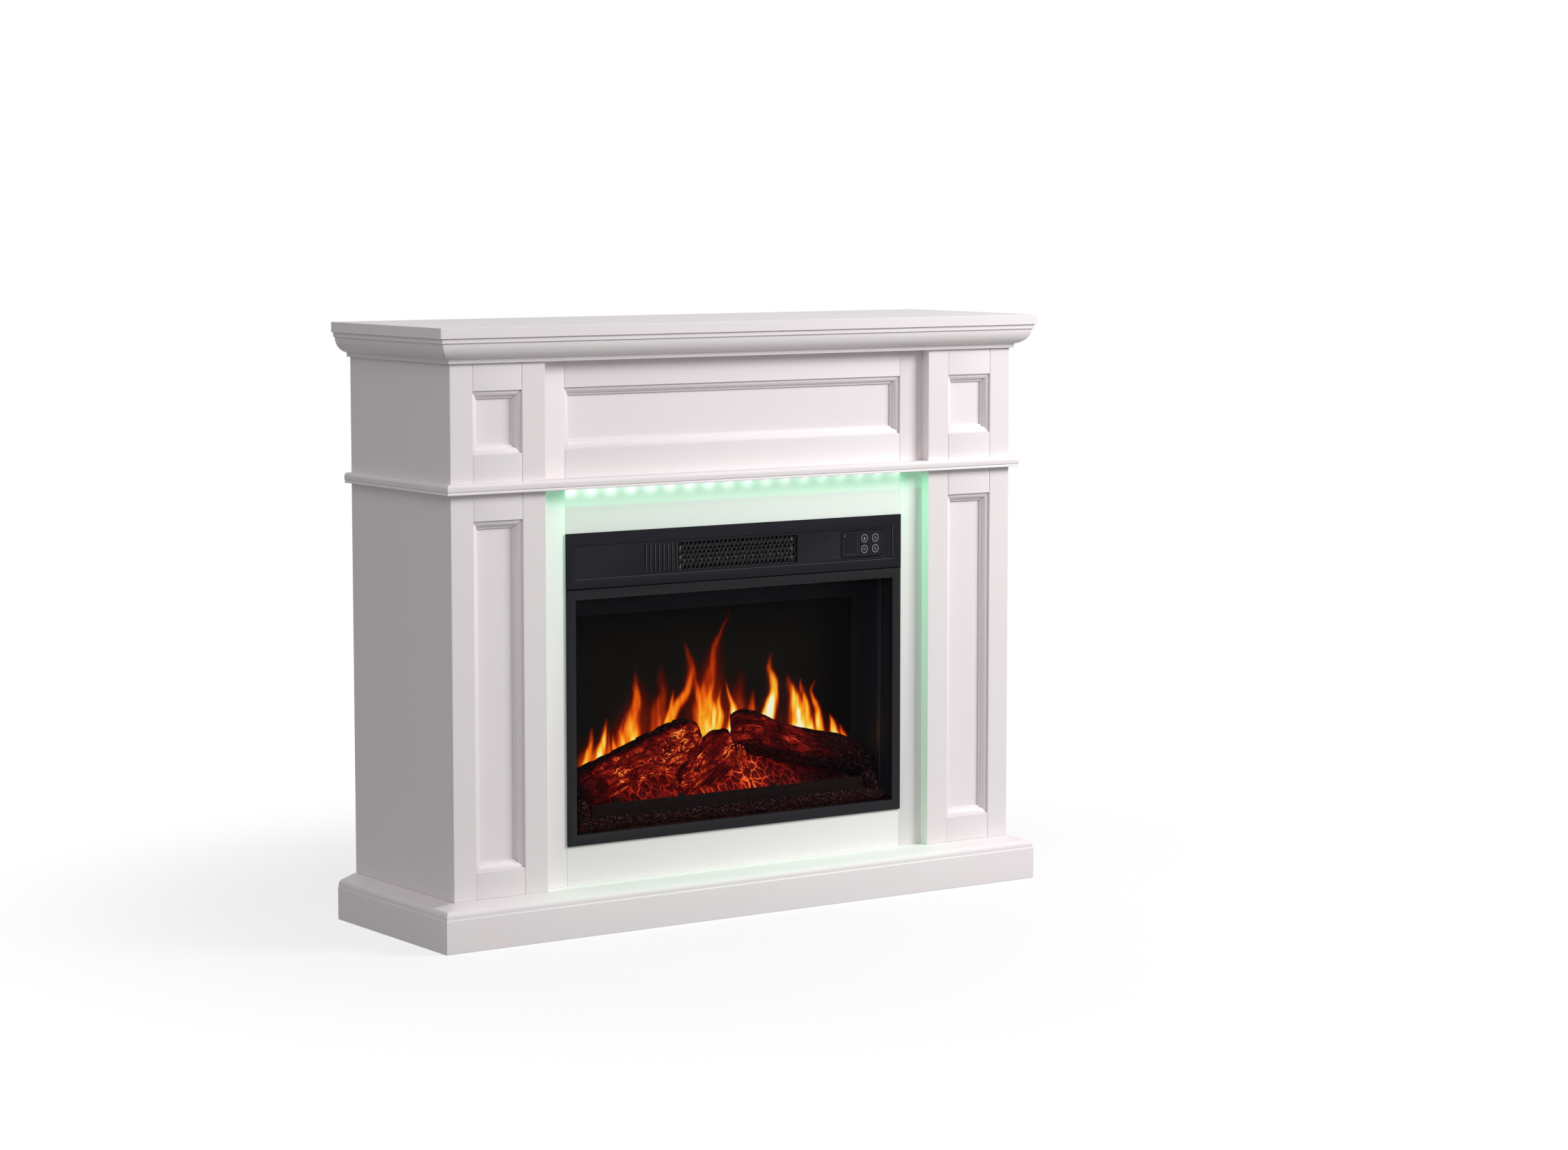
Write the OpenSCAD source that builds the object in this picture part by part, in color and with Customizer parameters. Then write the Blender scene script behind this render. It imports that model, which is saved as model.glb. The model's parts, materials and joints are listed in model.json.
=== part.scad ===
// Electric fireplace: a white panelled mantel on a plinth, with a black insert that
// holds a log set, a flame screen, a fan heater and a touch panel.
// Millimetres. The origin is on the floor, under the middle of the outer box. The front faces -Y.

/* [Mantel] */
// Width over the outer faces of the two legs
mantel_w = 970; // [955:5:1150]
// Depth from the leg fronts to the back
mantel_d = 285; // [275:5:340]
// Height of the legs, from the plinth to the crown
leg_h = 745.5; // [742:0.5:860]
// Thickness of the boards, and so of the step from the legs back to the centre
board_t = 16; // [15:0.5:18]
// Overhang of the top board and of the plinth beyond the legs
overhang = 30; // [28:1:40]
// Thickness of the top board
top_t = 15; // [12:1:20]
// Height of the plinth
plinth_h = 65; // [60:1:90]
// Gap left at a glued seam
seam = 0.2; // [0.1:0.05:0.3]
// Bevel on the ends of the rails, which shows each joint as a fine line
joint_bevel = 0.8; // [0.4:0.1:1.5]

/* [Legs] */
// Width of a leg
leg_w = 152; // [146:1:156]
// Width of a leg's outer stile
outer_stile_w = 36; // [32:1:42]
// Width of a leg's inner stile
inner_stile_w = 37; // [32:1:42]
// Height of a leg's bottom rail
bottom_rail_h = 38.5; // [30:0.5:60]
// Height of a leg's top rail
top_rail_h = 38.5; // [30:0.5:50]
// Height of the middle rail below the belt
rail_below_belt = 38.5; // [30:0.5:50]
// Height of the middle rail above the belt
rail_above_belt = 39.5; // [30:0.5:50]
// Depth of the panels behind the faces of their frames
panel_depth = 12; // [11:0.5:13]
// Thickness of the panels
panel_t = 6; // [5:0.5:9]
// Play of a panel in its frame
panel_play = 0.3; // [0.2:0.05:0.5]
// Width of the bead around a panel
bead_w = 11; // [10.5:0.5:14]
// Depth of the square drop from the frame to the bead
bead_drop = 3; // [2:0.5:3.5]
// Radius of the bead's ovolo
bead_r = 6; // [4:0.5:6.5]
// Width of the bead's inner fillet
bead_fillet = 3; // [2:0.25:3.25]

/* [Centre] */
// Lap of a centre stile behind the leg
stile_lap = 16; // [12:1:20]
// Height of the frieze rail above the belt
frieze_low_rail = 41.5; // [34:0.5:50]
// Height of the frieze rail below the crown
frieze_top_rail = 38.5; // [30:0.5:46]
// Height that shows of the apron, from the plinth to the insert
apron_show = 57; // [50:1:80]
// Depth of the shelf that carries the insert
shelf_d = 180; // [172:2:220]

/* [Mouldings] */
// Height of the crown's lower fillet
crown_fillet_h = 6.1; // [4:0.1:8]
// Projection of the crown's lower fillet
crown_fillet_out = 5.5; // [4:0.5:8]
// Radius of the crown's ovolo
crown_r = 23; // [20:0.5:26]
// Projection of the crown's ovolo
crown_out = 24.5; // [23:0.5:26]
// Height of the crown's top bead
crown_bead_h = 6.5; // [4:0.5:9]
// Projection of the crown's top bead
crown_bead_out = 27; // [26.5:0.1:27.9]
// Height of the belt's underside above the plinth, as a share of the legs' height
belt_share = 0.7592; // [0.752:0.0004:0.78]
// Height of the belt
belt_h = 14.5; // [13:0.5:20]
// Projection of the belt beyond the legs
belt_out = 11.5; // [9:0.5:16]
// Radius of the belt's top edge
belt_r = 5; // [3:0.5:6]
// Height of the small bead under the belt
belt_bead_h = 3; // [2:0.5:4]
// Depth of the groove above the belt's small bead
belt_groove = 1.2; // [0.6:0.2:2]
// Drop of the plinth's sloping top
plinth_drop = 6.5; // [4:0.5:9]
// Flat ledge at the foot of the legs
plinth_ledge = 3; // [2:0.5:6]
// Radius of the plinth's shoulder
plinth_r = 8; // [5:0.5:12]
// Step between the shoulder and the plinth's face
plinth_step = 1; // [0.5:0.25:2]
// Height of the straight piece between the shoulder and the step
plinth_neck = 3; // [2:0.5:6]

/* [Insert] */
// Width of the insert's front
insert_w = 584; // [570:2:588]
// Height of the insert's front
insert_h = 444.6; // [430:0.2:450]
// Thickness of the insert's front plates
flange_t = 3; // [2.5:0.25:4]
// Lap of the insert's front over the mantel
flange_lap = 11; // [9:0.5:12]
// Play of the housing in the mantel
housing_play = 2; // [1:0.25:2.5]
// Depth of the housing
housing_d = 165; // [160:1:180]
// Thickness of the sheet metal
sheet_t = 1.2; // [0.8:0.1:1.6]
// Height of the fascia, above the window
fascia_h = 79.4; // [76:0.2:84]
// Gap between the fascia and the window frame
fascia_gap = 0.8; // [0.4:0.1:1.2]
// Border of the window frame
frame_border = 15; // [14.5:0.25:18]
// Thickness of the glass
glass_t = 3; // [2:0.5:4]
// Drop of the firebox ceiling below the fascia joint
ceiling_drop = 8; // [6:0.5:10]
// Width of the flanges for the back plate
back_flange_w = 12; // [10:1:16]

/* [Fascia] */
// Height of the grille's middle above the fascia joint
feature_rise = 38; // [36:0.5:40]
// Border between the pressed recess and the ends of the fascia
recess_border = 15.5; // [12:0.5:20]
// Height of the pressed recess
recess_h = 48; // [46:0.5:52]
// Depth of the pressed recess
recess_d = 1; // [0.6:0.1:1.5]
// Width of the grille
grille_w = 208.5; // [180:0.5:240]
// Height of the grille
grille_h = 40; // [34:0.5:42]
// Lap of the grille plate behind the fascia
grille_lap = 4; // [3:0.5:5]
// Columns of slots in the grille
slot_columns = 28; // [20:1:34]
// Rows of slots in the grille
slot_rows = 3; // [2:1:4]
// Width of a slot as a share of its pitch
slot_share = 0.62; // [0.5:0.02:0.75]
// Lean of the slots in degrees
slot_lean = 28; // [0:1:32]
// Metal left between two rows of slots
slot_bridge = 1.2; // [0.8:0.1:2]
// Number of pressed ribs beside the grille
rib_count = 8; // [4:1:10]
// Spacing of the ribs
rib_pitch = 7.5; // [5:0.25:9]
// Width of a rib
rib_w = 1.2; // [0.8:0.1:2]

/* [Controls] */
// Distance from the middle of the control plate to the end of the fascia
control_inset = 71.6; // [69.8:0.2:90]
// Width of the control plate
control_w = 72.8; // [70:0.2:78]
// Height of the control plate
control_h = 37.6; // [36:0.2:40]
// Corner radius of the control plate
control_r = 4; // [2:0.5:6]
// Play of the control plate in the fascia
control_play = 0.4; // [0.3:0.05:0.6]
// Depth of the control plate's face behind the fascia's
control_sink = 0.6; // [0.3:0.1:0.9]
// Rim of the control plate behind the fascia
control_rim = 2.5; // [2:0.25:3]
// Width of the display window
display_w = 21; // [16:0.5:24]
// Height of the display window
display_h = 28; // [22:0.5:30]
// Middle of the display window, from the middle of the control plate
display_x = -19; // [-21:0.5:-18]
// Thickness of the display window
display_t = 0.9; // [0.6:0.1:1]
// Diameter of the buttons
button_d = 13; // [11:0.5:13.5]
// Spacing of the button columns
button_dx = 19.9; // [18:0.1:20.5]
// Spacing of the button rows
button_dz = 16.1; // [15.8:0.1:17]
// Middle of the buttons, from the middle of the control plate
buttons_x = 14.4; // [14:0.1:15.5]
// Radial play of a button in its bore
button_play = 0.08; // [0.05:0.01:0.1]
// Height of a button above the plate
button_proud = 0.5; // [0.3:0.1:1]
// Travel of a button
button_travel = 0.8; // [0.5:0.1:1]
// Distance from the control plate to its circuit board
board_standoff = 4.2; // [4:0.1:6]

/* [Firebox] */
// Depth of the flame screen behind the insert's front
screen_depth = 82; // [78:1:86]
// Thickness of the flame screen
screen_t = 3; // [2:0.5:4]
// Height of the valance above the flames
valance_h = 41; // [30:1:50]
// Width of the strips beside the flame screen
mask_strip_w = 16; // [10:1:24]
// Radius of the logs at the sides
log_r = 31; // [26:0.5:32]
// Radius of the log in the middle
middle_log_r = 23; // [18:0.5:24]
// Depth of the front log
front_log_d = 14; // [12:0.5:14.5]
// Height of the front log
front_log_h = 22; // [18:0.5:24]
// Height of the ember bed at its front
bed_h = 32; // [28:1:36]
// Height of the bar of the grate
bar_h = 22; // [18:0.5:26]
// Thickness of the bar of the grate
bar_t = 2; // [1.5:0.25:3]
// Distance from the ends of the grate's bar to the sides of the housing
bar_inset = 39.8; // [28:0.2:58]
// Height of the grate's bar above the firebox floor
bar_rise = 15.5; // [12:0.5:18]

/* [Flame drive] */
// Radius of the rotor's shaft
rotor_shaft_r = 2; // [1.5:0.25:3]
// Reach of the rotor's reflecting tabs
tab_reach = 14; // [10:0.5:16]
// Width of a reflecting tab
tab_w = 9; // [6:0.5:10]
// Number of reflecting tabs
tab_count = 36; // [24:2:44]
// Height of the rotor's axis above the firebox floor
rotor_rise = 37; // [30:0.5:45]
// Thickness of the rotor's motor
rotor_motor_t = 14; // [10:0.5:20]
// Radial play of every shaft in its bore
shaft_play = 0.05; // [0.03:0.01:0.1]

/* [Blower] */
// Radius of the blower wheel
wheel_r = 20; // [16:0.5:22]
// Length of the blower wheel
wheel_l = 190; // [150:2:200]
// Number of blades on the blower wheel
blade_count = 20; // [12:1:28]
// Radius of the blower wheel's shaft
wheel_shaft_r = 2.5; // [2:0.25:3]
// Inner radius of the blower's housing
scroll_r = 25.5; // [23.5:0.25:26]
// Thickness of the blower housing's sheet
scroll_t = 1.5; // [1:0.1:2]
// Length of the blower's motor
blower_motor_l = 32; // [24:1:40]
// Depth of the heater element
heater_d = 12; // [8:0.5:14]

/* [Lights] */
// Distance from the end lights under the belt to the joints of the centre stiles
led_inset = 9; // [6:0.5:30]
// Number of lights under the belt
led_count = 18; // [10:1:18]
// Width of the light strip
strip_w = 9; // [8:0.5:12]
// Thickness of the light strip
strip_t = 1.5; // [1:0.1:2]
// Size of a light chip
chip_w = 5; // [3:0.5:5]
// Thickness of a light chip
chip_t = 1.4; // [1:0.1:2]

/* [Hardware] */
// Radius of the shank of an assembly screw
screw_r = 2.5; // [2:0.25:3]
// Length of an assembly screw
screw_l = 45; // [35:1:50]
// Radius of the holes for the wall anchors
anchor_r = 3; // [2.5:0.25:4]
// Spacing of the holes for the wall anchors
anchor_span = 500; // [300:10:600]
// Bore radius of the cord gland
gland_bore_r = 3.6; // [3:0.1:4.5]
// Height of the back rails
back_rail_h = 80; // [70:1:100]

/* [Hidden] */
$fn = 64;

// Frame of the whole, from the overall sizes
half_w = mantel_w / 2;
leg_in = half_w - leg_w;
y_leg = (overhang - mantel_d) / 2;
y_back = (overhang + mantel_d) / 2;
y_centre = y_leg + board_t;
y_inside = y_centre + board_t;
z_crown = plinth_h + leg_h;
crown_fall = sqrt(crown_r * crown_r - pow(crown_fillet_out - crown_out + crown_r, 2));
crown_h = crown_fillet_h + crown_fall + crown_bead_h;
z_top = z_crown + crown_h;
z_belt = plinth_h + leg_h * belt_share;
z_belt_top = z_belt + belt_h;
z_insert = plinth_h + apron_show;
z_insert_top = z_insert + insert_h;
z_joint = z_insert_top - fascia_h;
half_insert = insert_w / 2;
stile_edge = half_insert;
open_half = half_insert - flange_lap;
z_open = z_insert + flange_lap;
z_open_top = z_insert_top - flange_lap;
rail_y = y_back - board_t;
belt_bead_set = 0.4;
belt_chamfer = 1.6;

// Openings of the leg frames
leg_open_x = leg_in + inner_stile_w;
leg_open_w = leg_w - inner_stile_w - outer_stile_w;
z_lower = plinth_h + bottom_rail_h;
z_lower_top = z_belt - rail_below_belt;
z_upper = z_belt_top + rail_above_belt;
z_upper_top = z_crown - top_rail_h;
z_frieze = z_belt_top + frieze_low_rail;
z_frieze_top = z_crown - frieze_top_rail;

// Insert
y_face = y_centre - flange_t;
win_half = half_insert - frame_border;
z_win = z_insert + frame_border;
z_win_top = z_joint - frame_border;
house_half = open_half - housing_play;
house_in = house_half - sheet_t;
z_house = z_open + housing_play;
z_house_top = z_open_top - housing_play;
z_floor = z_house + sheet_t;
z_roof = z_house_top - sheet_t;
y_house_back = y_centre + housing_d;
z_ceiling = z_joint - ceiling_drop;
z_feature = z_joint + feature_rise;
y_screen = y_centre + screen_depth;
mask_t = 1.5;
y_mask = y_screen - mask_t;

// Controls
control_x = half_insert - control_inset;
y_plate = y_face + control_sink;
y_rim = y_centre + mask_t;
y_board = y_rim + board_standoff;
control_lift = 0.6;
control_z = z_feature + control_lift;
display_play = 0.1;
button_r = button_d / 2;
collar_t = 1.5;
collar_gap = 0.3;
button_back = y_rim + collar_gap + collar_t;
collar_w = 0.9;
pcb_t = 1.6;
post_r = 1.8;
post_in = 4;
actuator_gap = 0.1;
actuator_r = 1.8;
switch_half = 3;

// Fascia, light strip and light controller
rib_gap = 2;
rib_sink = 0.1;
strip_gap = 1;
box_w = 60;
box_d = 18;
box_inset = 30;
box_margin = 8;

// Flame drive
rotor_gap = 8;
y_rotor = y_screen + screen_t + rotor_gap + tab_reach;
z_rotor = z_floor + rotor_rise;
bearing_w = 9;
end_play = 0.5;
rotor_half = house_in - bearing_w / 2;
motor_rim = 4;
rotor_motor_r = tab_reach + motor_rim;
boss_h = 3;
boss_wall = 3;
boss_r = rotor_shaft_r + boss_wall;
tab_t = 0.5;
tab_turn = 50;
lamp_d = 16;
lamp_inset = 40;
lamp_gap = 2;

// Logs and grate
log_gap = 0.5;
bar_gap = 1.5;
y_bar = y_centre + glass_t + 2 * log_gap + front_log_d + bar_gap;
y_bed = y_bar + bar_t + log_gap;
bed_wall = 6;
bed_rise = 24;
y_log_back = y_mask - bar_gap;
log_inset = 9;
log_end = house_in - log_inset;
left_log_in = 62;
left_log_z = [50, 110];
right_log_in = 14;
right_log_z = [52, 118];
middle_log_x = [-20, -34];
middle_log_z = [100, 55];
bar_half = house_in - bar_inset;
bar_tabs = [-0.824, -0.361, 0.324, 0.866];
bar_tab_w = 10;
bar_tab_h = 5;

// Blower and heater
blower_depth = 62;
y_blower = y_centre + blower_depth;
scroll_out = scroll_r + scroll_t;
z_blower = z_roof - scroll_out;
end_gap = 2;
scroll_half = wheel_l / 2 + end_gap;
duct_gap = 1.4;
y_duct = y_centre + sheet_t + duct_gap;
y_heater = y_duct + end_gap;
motor_half = 18;
motor_socket = 11;
shaft_stub = 4;
disc_t = 1.5;
blade_t = 0.8;
blade_d = 6;
intake_turn = 15;
intake_in = 5;
fin_pitch = 5;
fin_t = 0.6;
heater_bar_h = 4;

// Hardware
cut = 1;
head_r = screw_r * 2;
head_h = 2.5;
screw_play = 0.1;
small_r = 1.7;
small_l = 7;
screw_inset = 20;
back_screw_x = house_in - back_flange_w / 2;
screw_x = leg_in + board_t / 2;
shelf_screw_z = z_house - board_t / 2;
shelf_screw_in = 40;
shelf_screw_y = [y_inside + shelf_screw_in, y_inside + shelf_d - shelf_screw_in];
rail_screw_z = [plinth_h + back_rail_h / 2, z_top - back_rail_h / 2];
vent_pitch = 14;
vent_w = 6;
vent_h = 30;
vent_drop = 15;
power_inset = 20;
power_w = 100;
power_d = 70;
transformer_h = 20;
relay_h = 14;
post_h = 6;
gland_inner = 4;
gland_outer = 9;
gland_inset = 60;
gland_x = gland_inset - house_half;
gland_rise = 36;
gland_z = z_ceiling + gland_rise;
gland_wall = 2.4;
gland_r = gland_bore_r + gland_wall;
gland_lip = 4;
gland_flange_r = gland_r + gland_lip;

white = [0.93, 0.91, 0.91];
shell_black = [0.14, 0.14, 0.16];

// Points of an arc about (cx, cy), from angle a to angle b in n steps
function arc(cx, cy, r, a, b, n) =
  [for (i = [0 : n]) [cx + r * cos(a + (b - a) * i / n), cy + r * sin(a + (b - a) * i / n)]];

// A board between two X, two Y and two Z planes
module board(x0, x1, y0, y1, z0, z1) {
  translate([x0, y0, z0]) cube([x1 - x0, y1 - y0, z1 - z0]);
}

module both_sides() {
  children();
  mirror([1, 0, 0]) children();
}

// Right hand pieces are drawn, and left hand ones are their mirror image
module on_side(side) {
  mirror([side < 0 ? 1 : 0, 0, 0]) children();
}

// A rail between two stiles, with a bevel at each end that shows the joint
module rail(x0, x1, y0, z0, z1) {
  a = x0 + seam;
  b = x1 - seam;
  translate([0, 0, z0]) linear_extrude(z1 - z0)
    polygon([
      [a, y0 + joint_bevel], [a + joint_bevel, y0], [b - joint_bevel, y0], [b, y0 + joint_bevel],
      [b, y0 + board_t], [a, y0 + board_t]
    ]);
}

// One mitred stick of bead along X, whose moulding faces -Y and steps in towards +Z
module bead_stick(length) {
  flat = bead_w - bead_r - bead_fillet;
  intersection() {
    rotate([90, 0, 90]) linear_extrude(length) polygon(concat(
      [[panel_depth, 0], [bead_drop, 0]],
      arc(bead_drop + bead_r, flat, bead_r, 180, 90, 8),
      [[bead_drop + bead_r, bead_w], [panel_depth, bead_w]]
    ));
    translate([0, panel_depth, 0]) rotate([90, 0, 0]) linear_extrude(panel_depth)
      polygon([[seam, 0], [length - seam, 0], [length - bead_w - seam, bead_w], [bead_w + seam, bead_w]]);
  }
}

// The four sticks of bead around an opening whose low corner is (x, y, z)
module bead_ring(x, y, z, w, h) {
  translate([x, y, z]) bead_stick(w);
  translate([x + w, y, z + h]) rotate([0, 180, 0]) bead_stick(w);
  translate([x, y, z + h]) rotate([0, 90, 0]) bead_stick(h);
  translate([x + w, y, z]) rotate([0, -90, 0]) bead_stick(h);
}

// Three mitred runs of moulding round the front and both sides of the legs.
// The child is the section, drawn outwards from the face of the legs and up from the floor.
module moulding_runs(out, inner) {
  reach = out + 1;
  intersection() {
    translate([-half_w - reach, y_leg, 0]) rotate([90, 0, 90]) linear_extrude(mantel_w + 2 * reach)
      mirror([1, 0]) children();
    linear_extrude(z_top + top_t) polygon([
      [-half_w - reach + seam, y_leg - reach], [half_w + reach - seam, y_leg - reach],
      [half_w - inner - seam, y_leg + inner], [-half_w + inner + seam, y_leg + inner]
    ]);
  }
  both_sides() intersection() {
    translate([half_w, y_back, 0]) rotate([90, 0, 0]) linear_extrude(mantel_d + reach) children();
    linear_extrude(z_top + top_t) polygon([
      [half_w - inner, y_leg + inner + seam], [half_w + reach, y_leg - reach + seam],
      [half_w + reach, y_back], [half_w - inner, y_back]
    ]);
  }
}

// A cylinder from point p to point q
module bar_between(p, q, r) {
  d = q - p;
  span = norm(d);
  translate(p) rotate([0, acos(d[2] / span), atan2(d[1], d[0])]) cylinder(h = span, r = r);
}

// A cylinder along +X, from x0 to x1, about the axis (y, z)
module x_rod(x0, x1, y, z, r) {
  translate([x0, y, z]) rotate([0, 90, 0]) cylinder(h = x1 - x0, r = r);
}

// A cylinder along +Y, from y0 to y1, about the axis (x, z)
module y_rod(y0, y1, x, z, r) {
  translate([x, y0, z]) rotate([-90, 0, 0]) cylinder(h = y1 - y0, r = r);
}

// A plate facing -Y with rounded corners, about the middle (x, z)
module round_plate(x, z, w, h, r, y0, y1) {
  translate([x, y1, z]) rotate([90, 0, 0]) linear_extrude(y1 - y0) union() {
    square([w - 2 * r, h], center = true);
    square([w, h - 2 * r], center = true);
    for (sx = [-1, 1], sz = [-1, 1]) translate([sx * (w / 2 - r), sz * (h / 2 - r)]) circle(r = r);
  }
}

// ---------------------------------------------------------------- mantel

module top_board() {
  color(white)
    board(-half_w - overhang, half_w + overhang, y_leg - overhang, y_back, z_top, z_top + top_t);
}

module crown_section() {
  polygon(concat(
    [[-board_t, z_crown], [crown_fillet_out, z_crown]],
    arc(crown_out - crown_r, z_crown + crown_fillet_h + crown_fall, crown_r,
        -asin(crown_fall / crown_r), 0, 16),
    [[crown_bead_out, z_top - crown_bead_h], [crown_bead_out, z_top], [-board_t, z_top]]
  ));
}

module crown_moulding() {
  color(white) moulding_runs(crown_bead_out, board_t) crown_section();
}

module belt_section() {
  neck = belt_out - belt_groove;
  bead_out = belt_out - belt_bead_set;
  z_bead = z_belt + belt_bead_h;
  polygon(concat(
    [[0, z_belt], [bead_out, z_belt], [bead_out, z_bead - belt_chamfer / 2]],
    [[neck, z_bead], [neck, z_bead + belt_chamfer / 2], [belt_out, z_bead + belt_chamfer]],
    arc(belt_out - belt_r, z_belt_top - belt_r, belt_r, 0, 90, 8),
    [[0, z_belt_top]]
  ));
}

module belt_moulding() {
  color(white) {
    moulding_runs(belt_out, 0) belt_section();
    board(-leg_in, leg_in, y_leg, y_centre, z_belt, z_belt_top);
  }
}

module plinth_section() {
  neck = overhang - plinth_step;
  shoulder_z = plinth_h - plinth_drop - plinth_r;
  polygon(concat(
    [[0, 0], [overhang, 0], [overhang, shoulder_z - plinth_neck - plinth_step]],
    [[neck, shoulder_z - plinth_neck]],
    arc(neck - plinth_r, shoulder_z, plinth_r, 0, 90, 8),
    [[plinth_ledge, plinth_h], [0, plinth_h]]
  ));
}

module plinth_moulding() {
  color(white) moulding_runs(overhang, 0) plinth_section();
}

module plinth_deck() {
  color(white) board(-half_w, half_w, y_leg, y_back, plinth_h - board_t, plinth_h);
}

module base_bearers() {
  color("burlywood") {
    board(-half_w, half_w, rail_y, y_back, 0, plinth_h - board_t);
    both_sides() board(leg_in, leg_in + board_t, y_leg + seam, rail_y - seam, 0, plinth_h - board_t);
  }
}

module leg_stiles(side) {
  color(white) on_side(side) {
    board(leg_in, leg_open_x, y_leg, y_centre, plinth_h, z_crown);
    board(half_w - outer_stile_w, half_w, y_leg, y_centre, plinth_h, z_crown);
  }
}

module leg_rails(side) {
  x1 = leg_open_x + leg_open_w;
  color(white) on_side(side) {
    rail(leg_open_x, x1, y_leg, plinth_h, z_lower);
    rail(leg_open_x, x1, y_leg, z_lower_top, z_upper);
    rail(leg_open_x, x1, y_leg, z_upper_top, z_crown);
  }
}

// A flat panel behind an opening whose low corner is (x, z)
module panel(x, y, z, w, h) {
  board(x + panel_play, x + w - panel_play, y + panel_depth, y + panel_depth + panel_t,
        z + panel_play, z + h - panel_play);
}

module leg_panels(side) {
  color(white) on_side(side) {
    panel(leg_open_x, y_leg, z_lower, leg_open_w, z_lower_top - z_lower);
    panel(leg_open_x, y_leg, z_upper, leg_open_w, z_upper_top - z_upper);
  }
}

module leg_beads(side) {
  color(white) on_side(side) {
    bead_ring(leg_open_x, y_leg, z_lower, leg_open_w, z_lower_top - z_lower);
    bead_ring(leg_open_x, y_leg, z_upper, leg_open_w, z_upper_top - z_upper);
  }
}

// The stiles are rebated where the header, the apron and the frieze meet them
module centre_stiles() {
  color(white) both_sides() difference() {
    board(open_half, leg_in + stile_lap, y_centre, y_inside, plinth_h, z_top);
    board(open_half - cut, stile_edge, y_centre - cut, y_inside + cut, z_open_top, z_top + cut);
    board(open_half - cut, stile_edge, y_centre - cut, y_inside + cut, plinth_h - cut, z_open);
  }
}

module frieze_rails() {
  color(white) {
    rail(-stile_edge, stile_edge, y_centre, z_belt, z_frieze);
    rail(-stile_edge, stile_edge, y_centre, z_frieze_top, z_top);
  }
}

module frieze_panel() {
  color(white) panel(-stile_edge, y_centre, z_frieze, 2 * stile_edge, z_frieze_top - z_frieze);
}

module frieze_bead() {
  color(white)
    bead_ring(-stile_edge, y_centre, z_frieze, 2 * stile_edge, z_frieze_top - z_frieze);
}

module header_board() {
  color(white) rail(-stile_edge, stile_edge, y_centre, z_open_top, z_belt);
}

module apron_board() {
  color(white) rail(-stile_edge, stile_edge, y_centre, plinth_h, z_open);
}

module side_panel(side) {
  color(white) on_side(side)
    board(half_w - board_t, half_w, y_centre, y_back, plinth_h, z_crown);
}

module partition_boards() {
  color("burlywood") both_sides() difference() {
    board(leg_in, leg_in + board_t, y_inside, rail_y, plinth_h, z_top);
    for (y = shelf_screw_y)
      x_rod(leg_in - cut, leg_in + board_t + cut, y, shelf_screw_z, screw_r + screw_play);
    for (z = rail_screw_z)
      y_rod(y_back - head_h - screw_l - cut, rail_y + cut, screw_x, z, screw_r + screw_play);
  }
}

module insert_shelf() {
  color("burlywood") difference() {
    board(-leg_in, leg_in, y_inside, y_inside + shelf_d, z_house - board_t, z_house);
    both_sides() for (y = shelf_screw_y)
      x_rod(leg_in + board_t - screw_l - cut, leg_in + cut, y, shelf_screw_z, screw_r + screw_play);
  }
}

module back_rails() {
  color("burlywood") for (z = rail_screw_z) difference() {
    board(board_t - half_w, half_w - board_t, rail_y, y_back, z - back_rail_h / 2, z + back_rail_h / 2);
    both_sides() y_rod(rail_y - cut, y_back + cut, screw_x, z, screw_r + screw_play);
    both_sides() y_rod(y_back - head_h, y_back + cut, screw_x, z, head_r + screw_play);
    if (z > z_belt) both_sides() y_rod(rail_y - cut, y_back + cut, anchor_span / 2, z, anchor_r);
  }
}

// A screw along +Z whose head stands on the plane z = 0
module screw(r, length) {
  translate([0, 0, -length]) cylinder(h = length, r = r);
  cylinder(h = head_h, r = r * 2);
}

module assembly_screws() {
  color("silver") both_sides() {
    for (z = rail_screw_z) translate([screw_x, y_back - head_h, z]) rotate([-90, 0, 0])
      screw(screw_r, screw_l);
    for (y = shelf_screw_y) translate([leg_in + board_t, y, shelf_screw_z]) rotate([0, 90, 0])
      screw(screw_r, screw_l);
  }
}

// ---------------------------------------------------------------- lights

module light_strip() {
  first = led_inset - stile_edge;
  led_pitch = -2 * first / (led_count - 1);
  y0 = y_centre - strip_gap - strip_w;
  color("white") {
    board(strip_gap - stile_edge, stile_edge - strip_gap, y0, y0 + strip_w, z_belt - strip_t, z_belt);
    for (i = [0 : led_count - 1]) translate([first + i * led_pitch, 0, 0])
      board(-chip_w / 2, chip_w / 2, y0 + (strip_w - chip_w) / 2, y0 + (strip_w + chip_w) / 2,
            z_belt - strip_t - chip_t, z_belt - strip_t);
  }
}

// A box on the back of the lower frieze rail
module light_controller() {
  color("dimgray") translate([stile_edge - box_inset, 0, 0])
    board(-box_w, 0, y_inside, y_inside + box_d, z_belt + box_margin, z_frieze - box_margin);
}

// ---------------------------------------------------------------- insert front

// A slot of the grille as a leaning parallelogram about its middle
module slot(w, h) {
  shift = h / 2 * tan(slot_lean);
  polygon([[-w / 2 - shift, -h / 2], [w / 2 - shift, -h / 2], [w / 2 + shift, h / 2], [-w / 2 + shift, h / 2]]);
}

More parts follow.
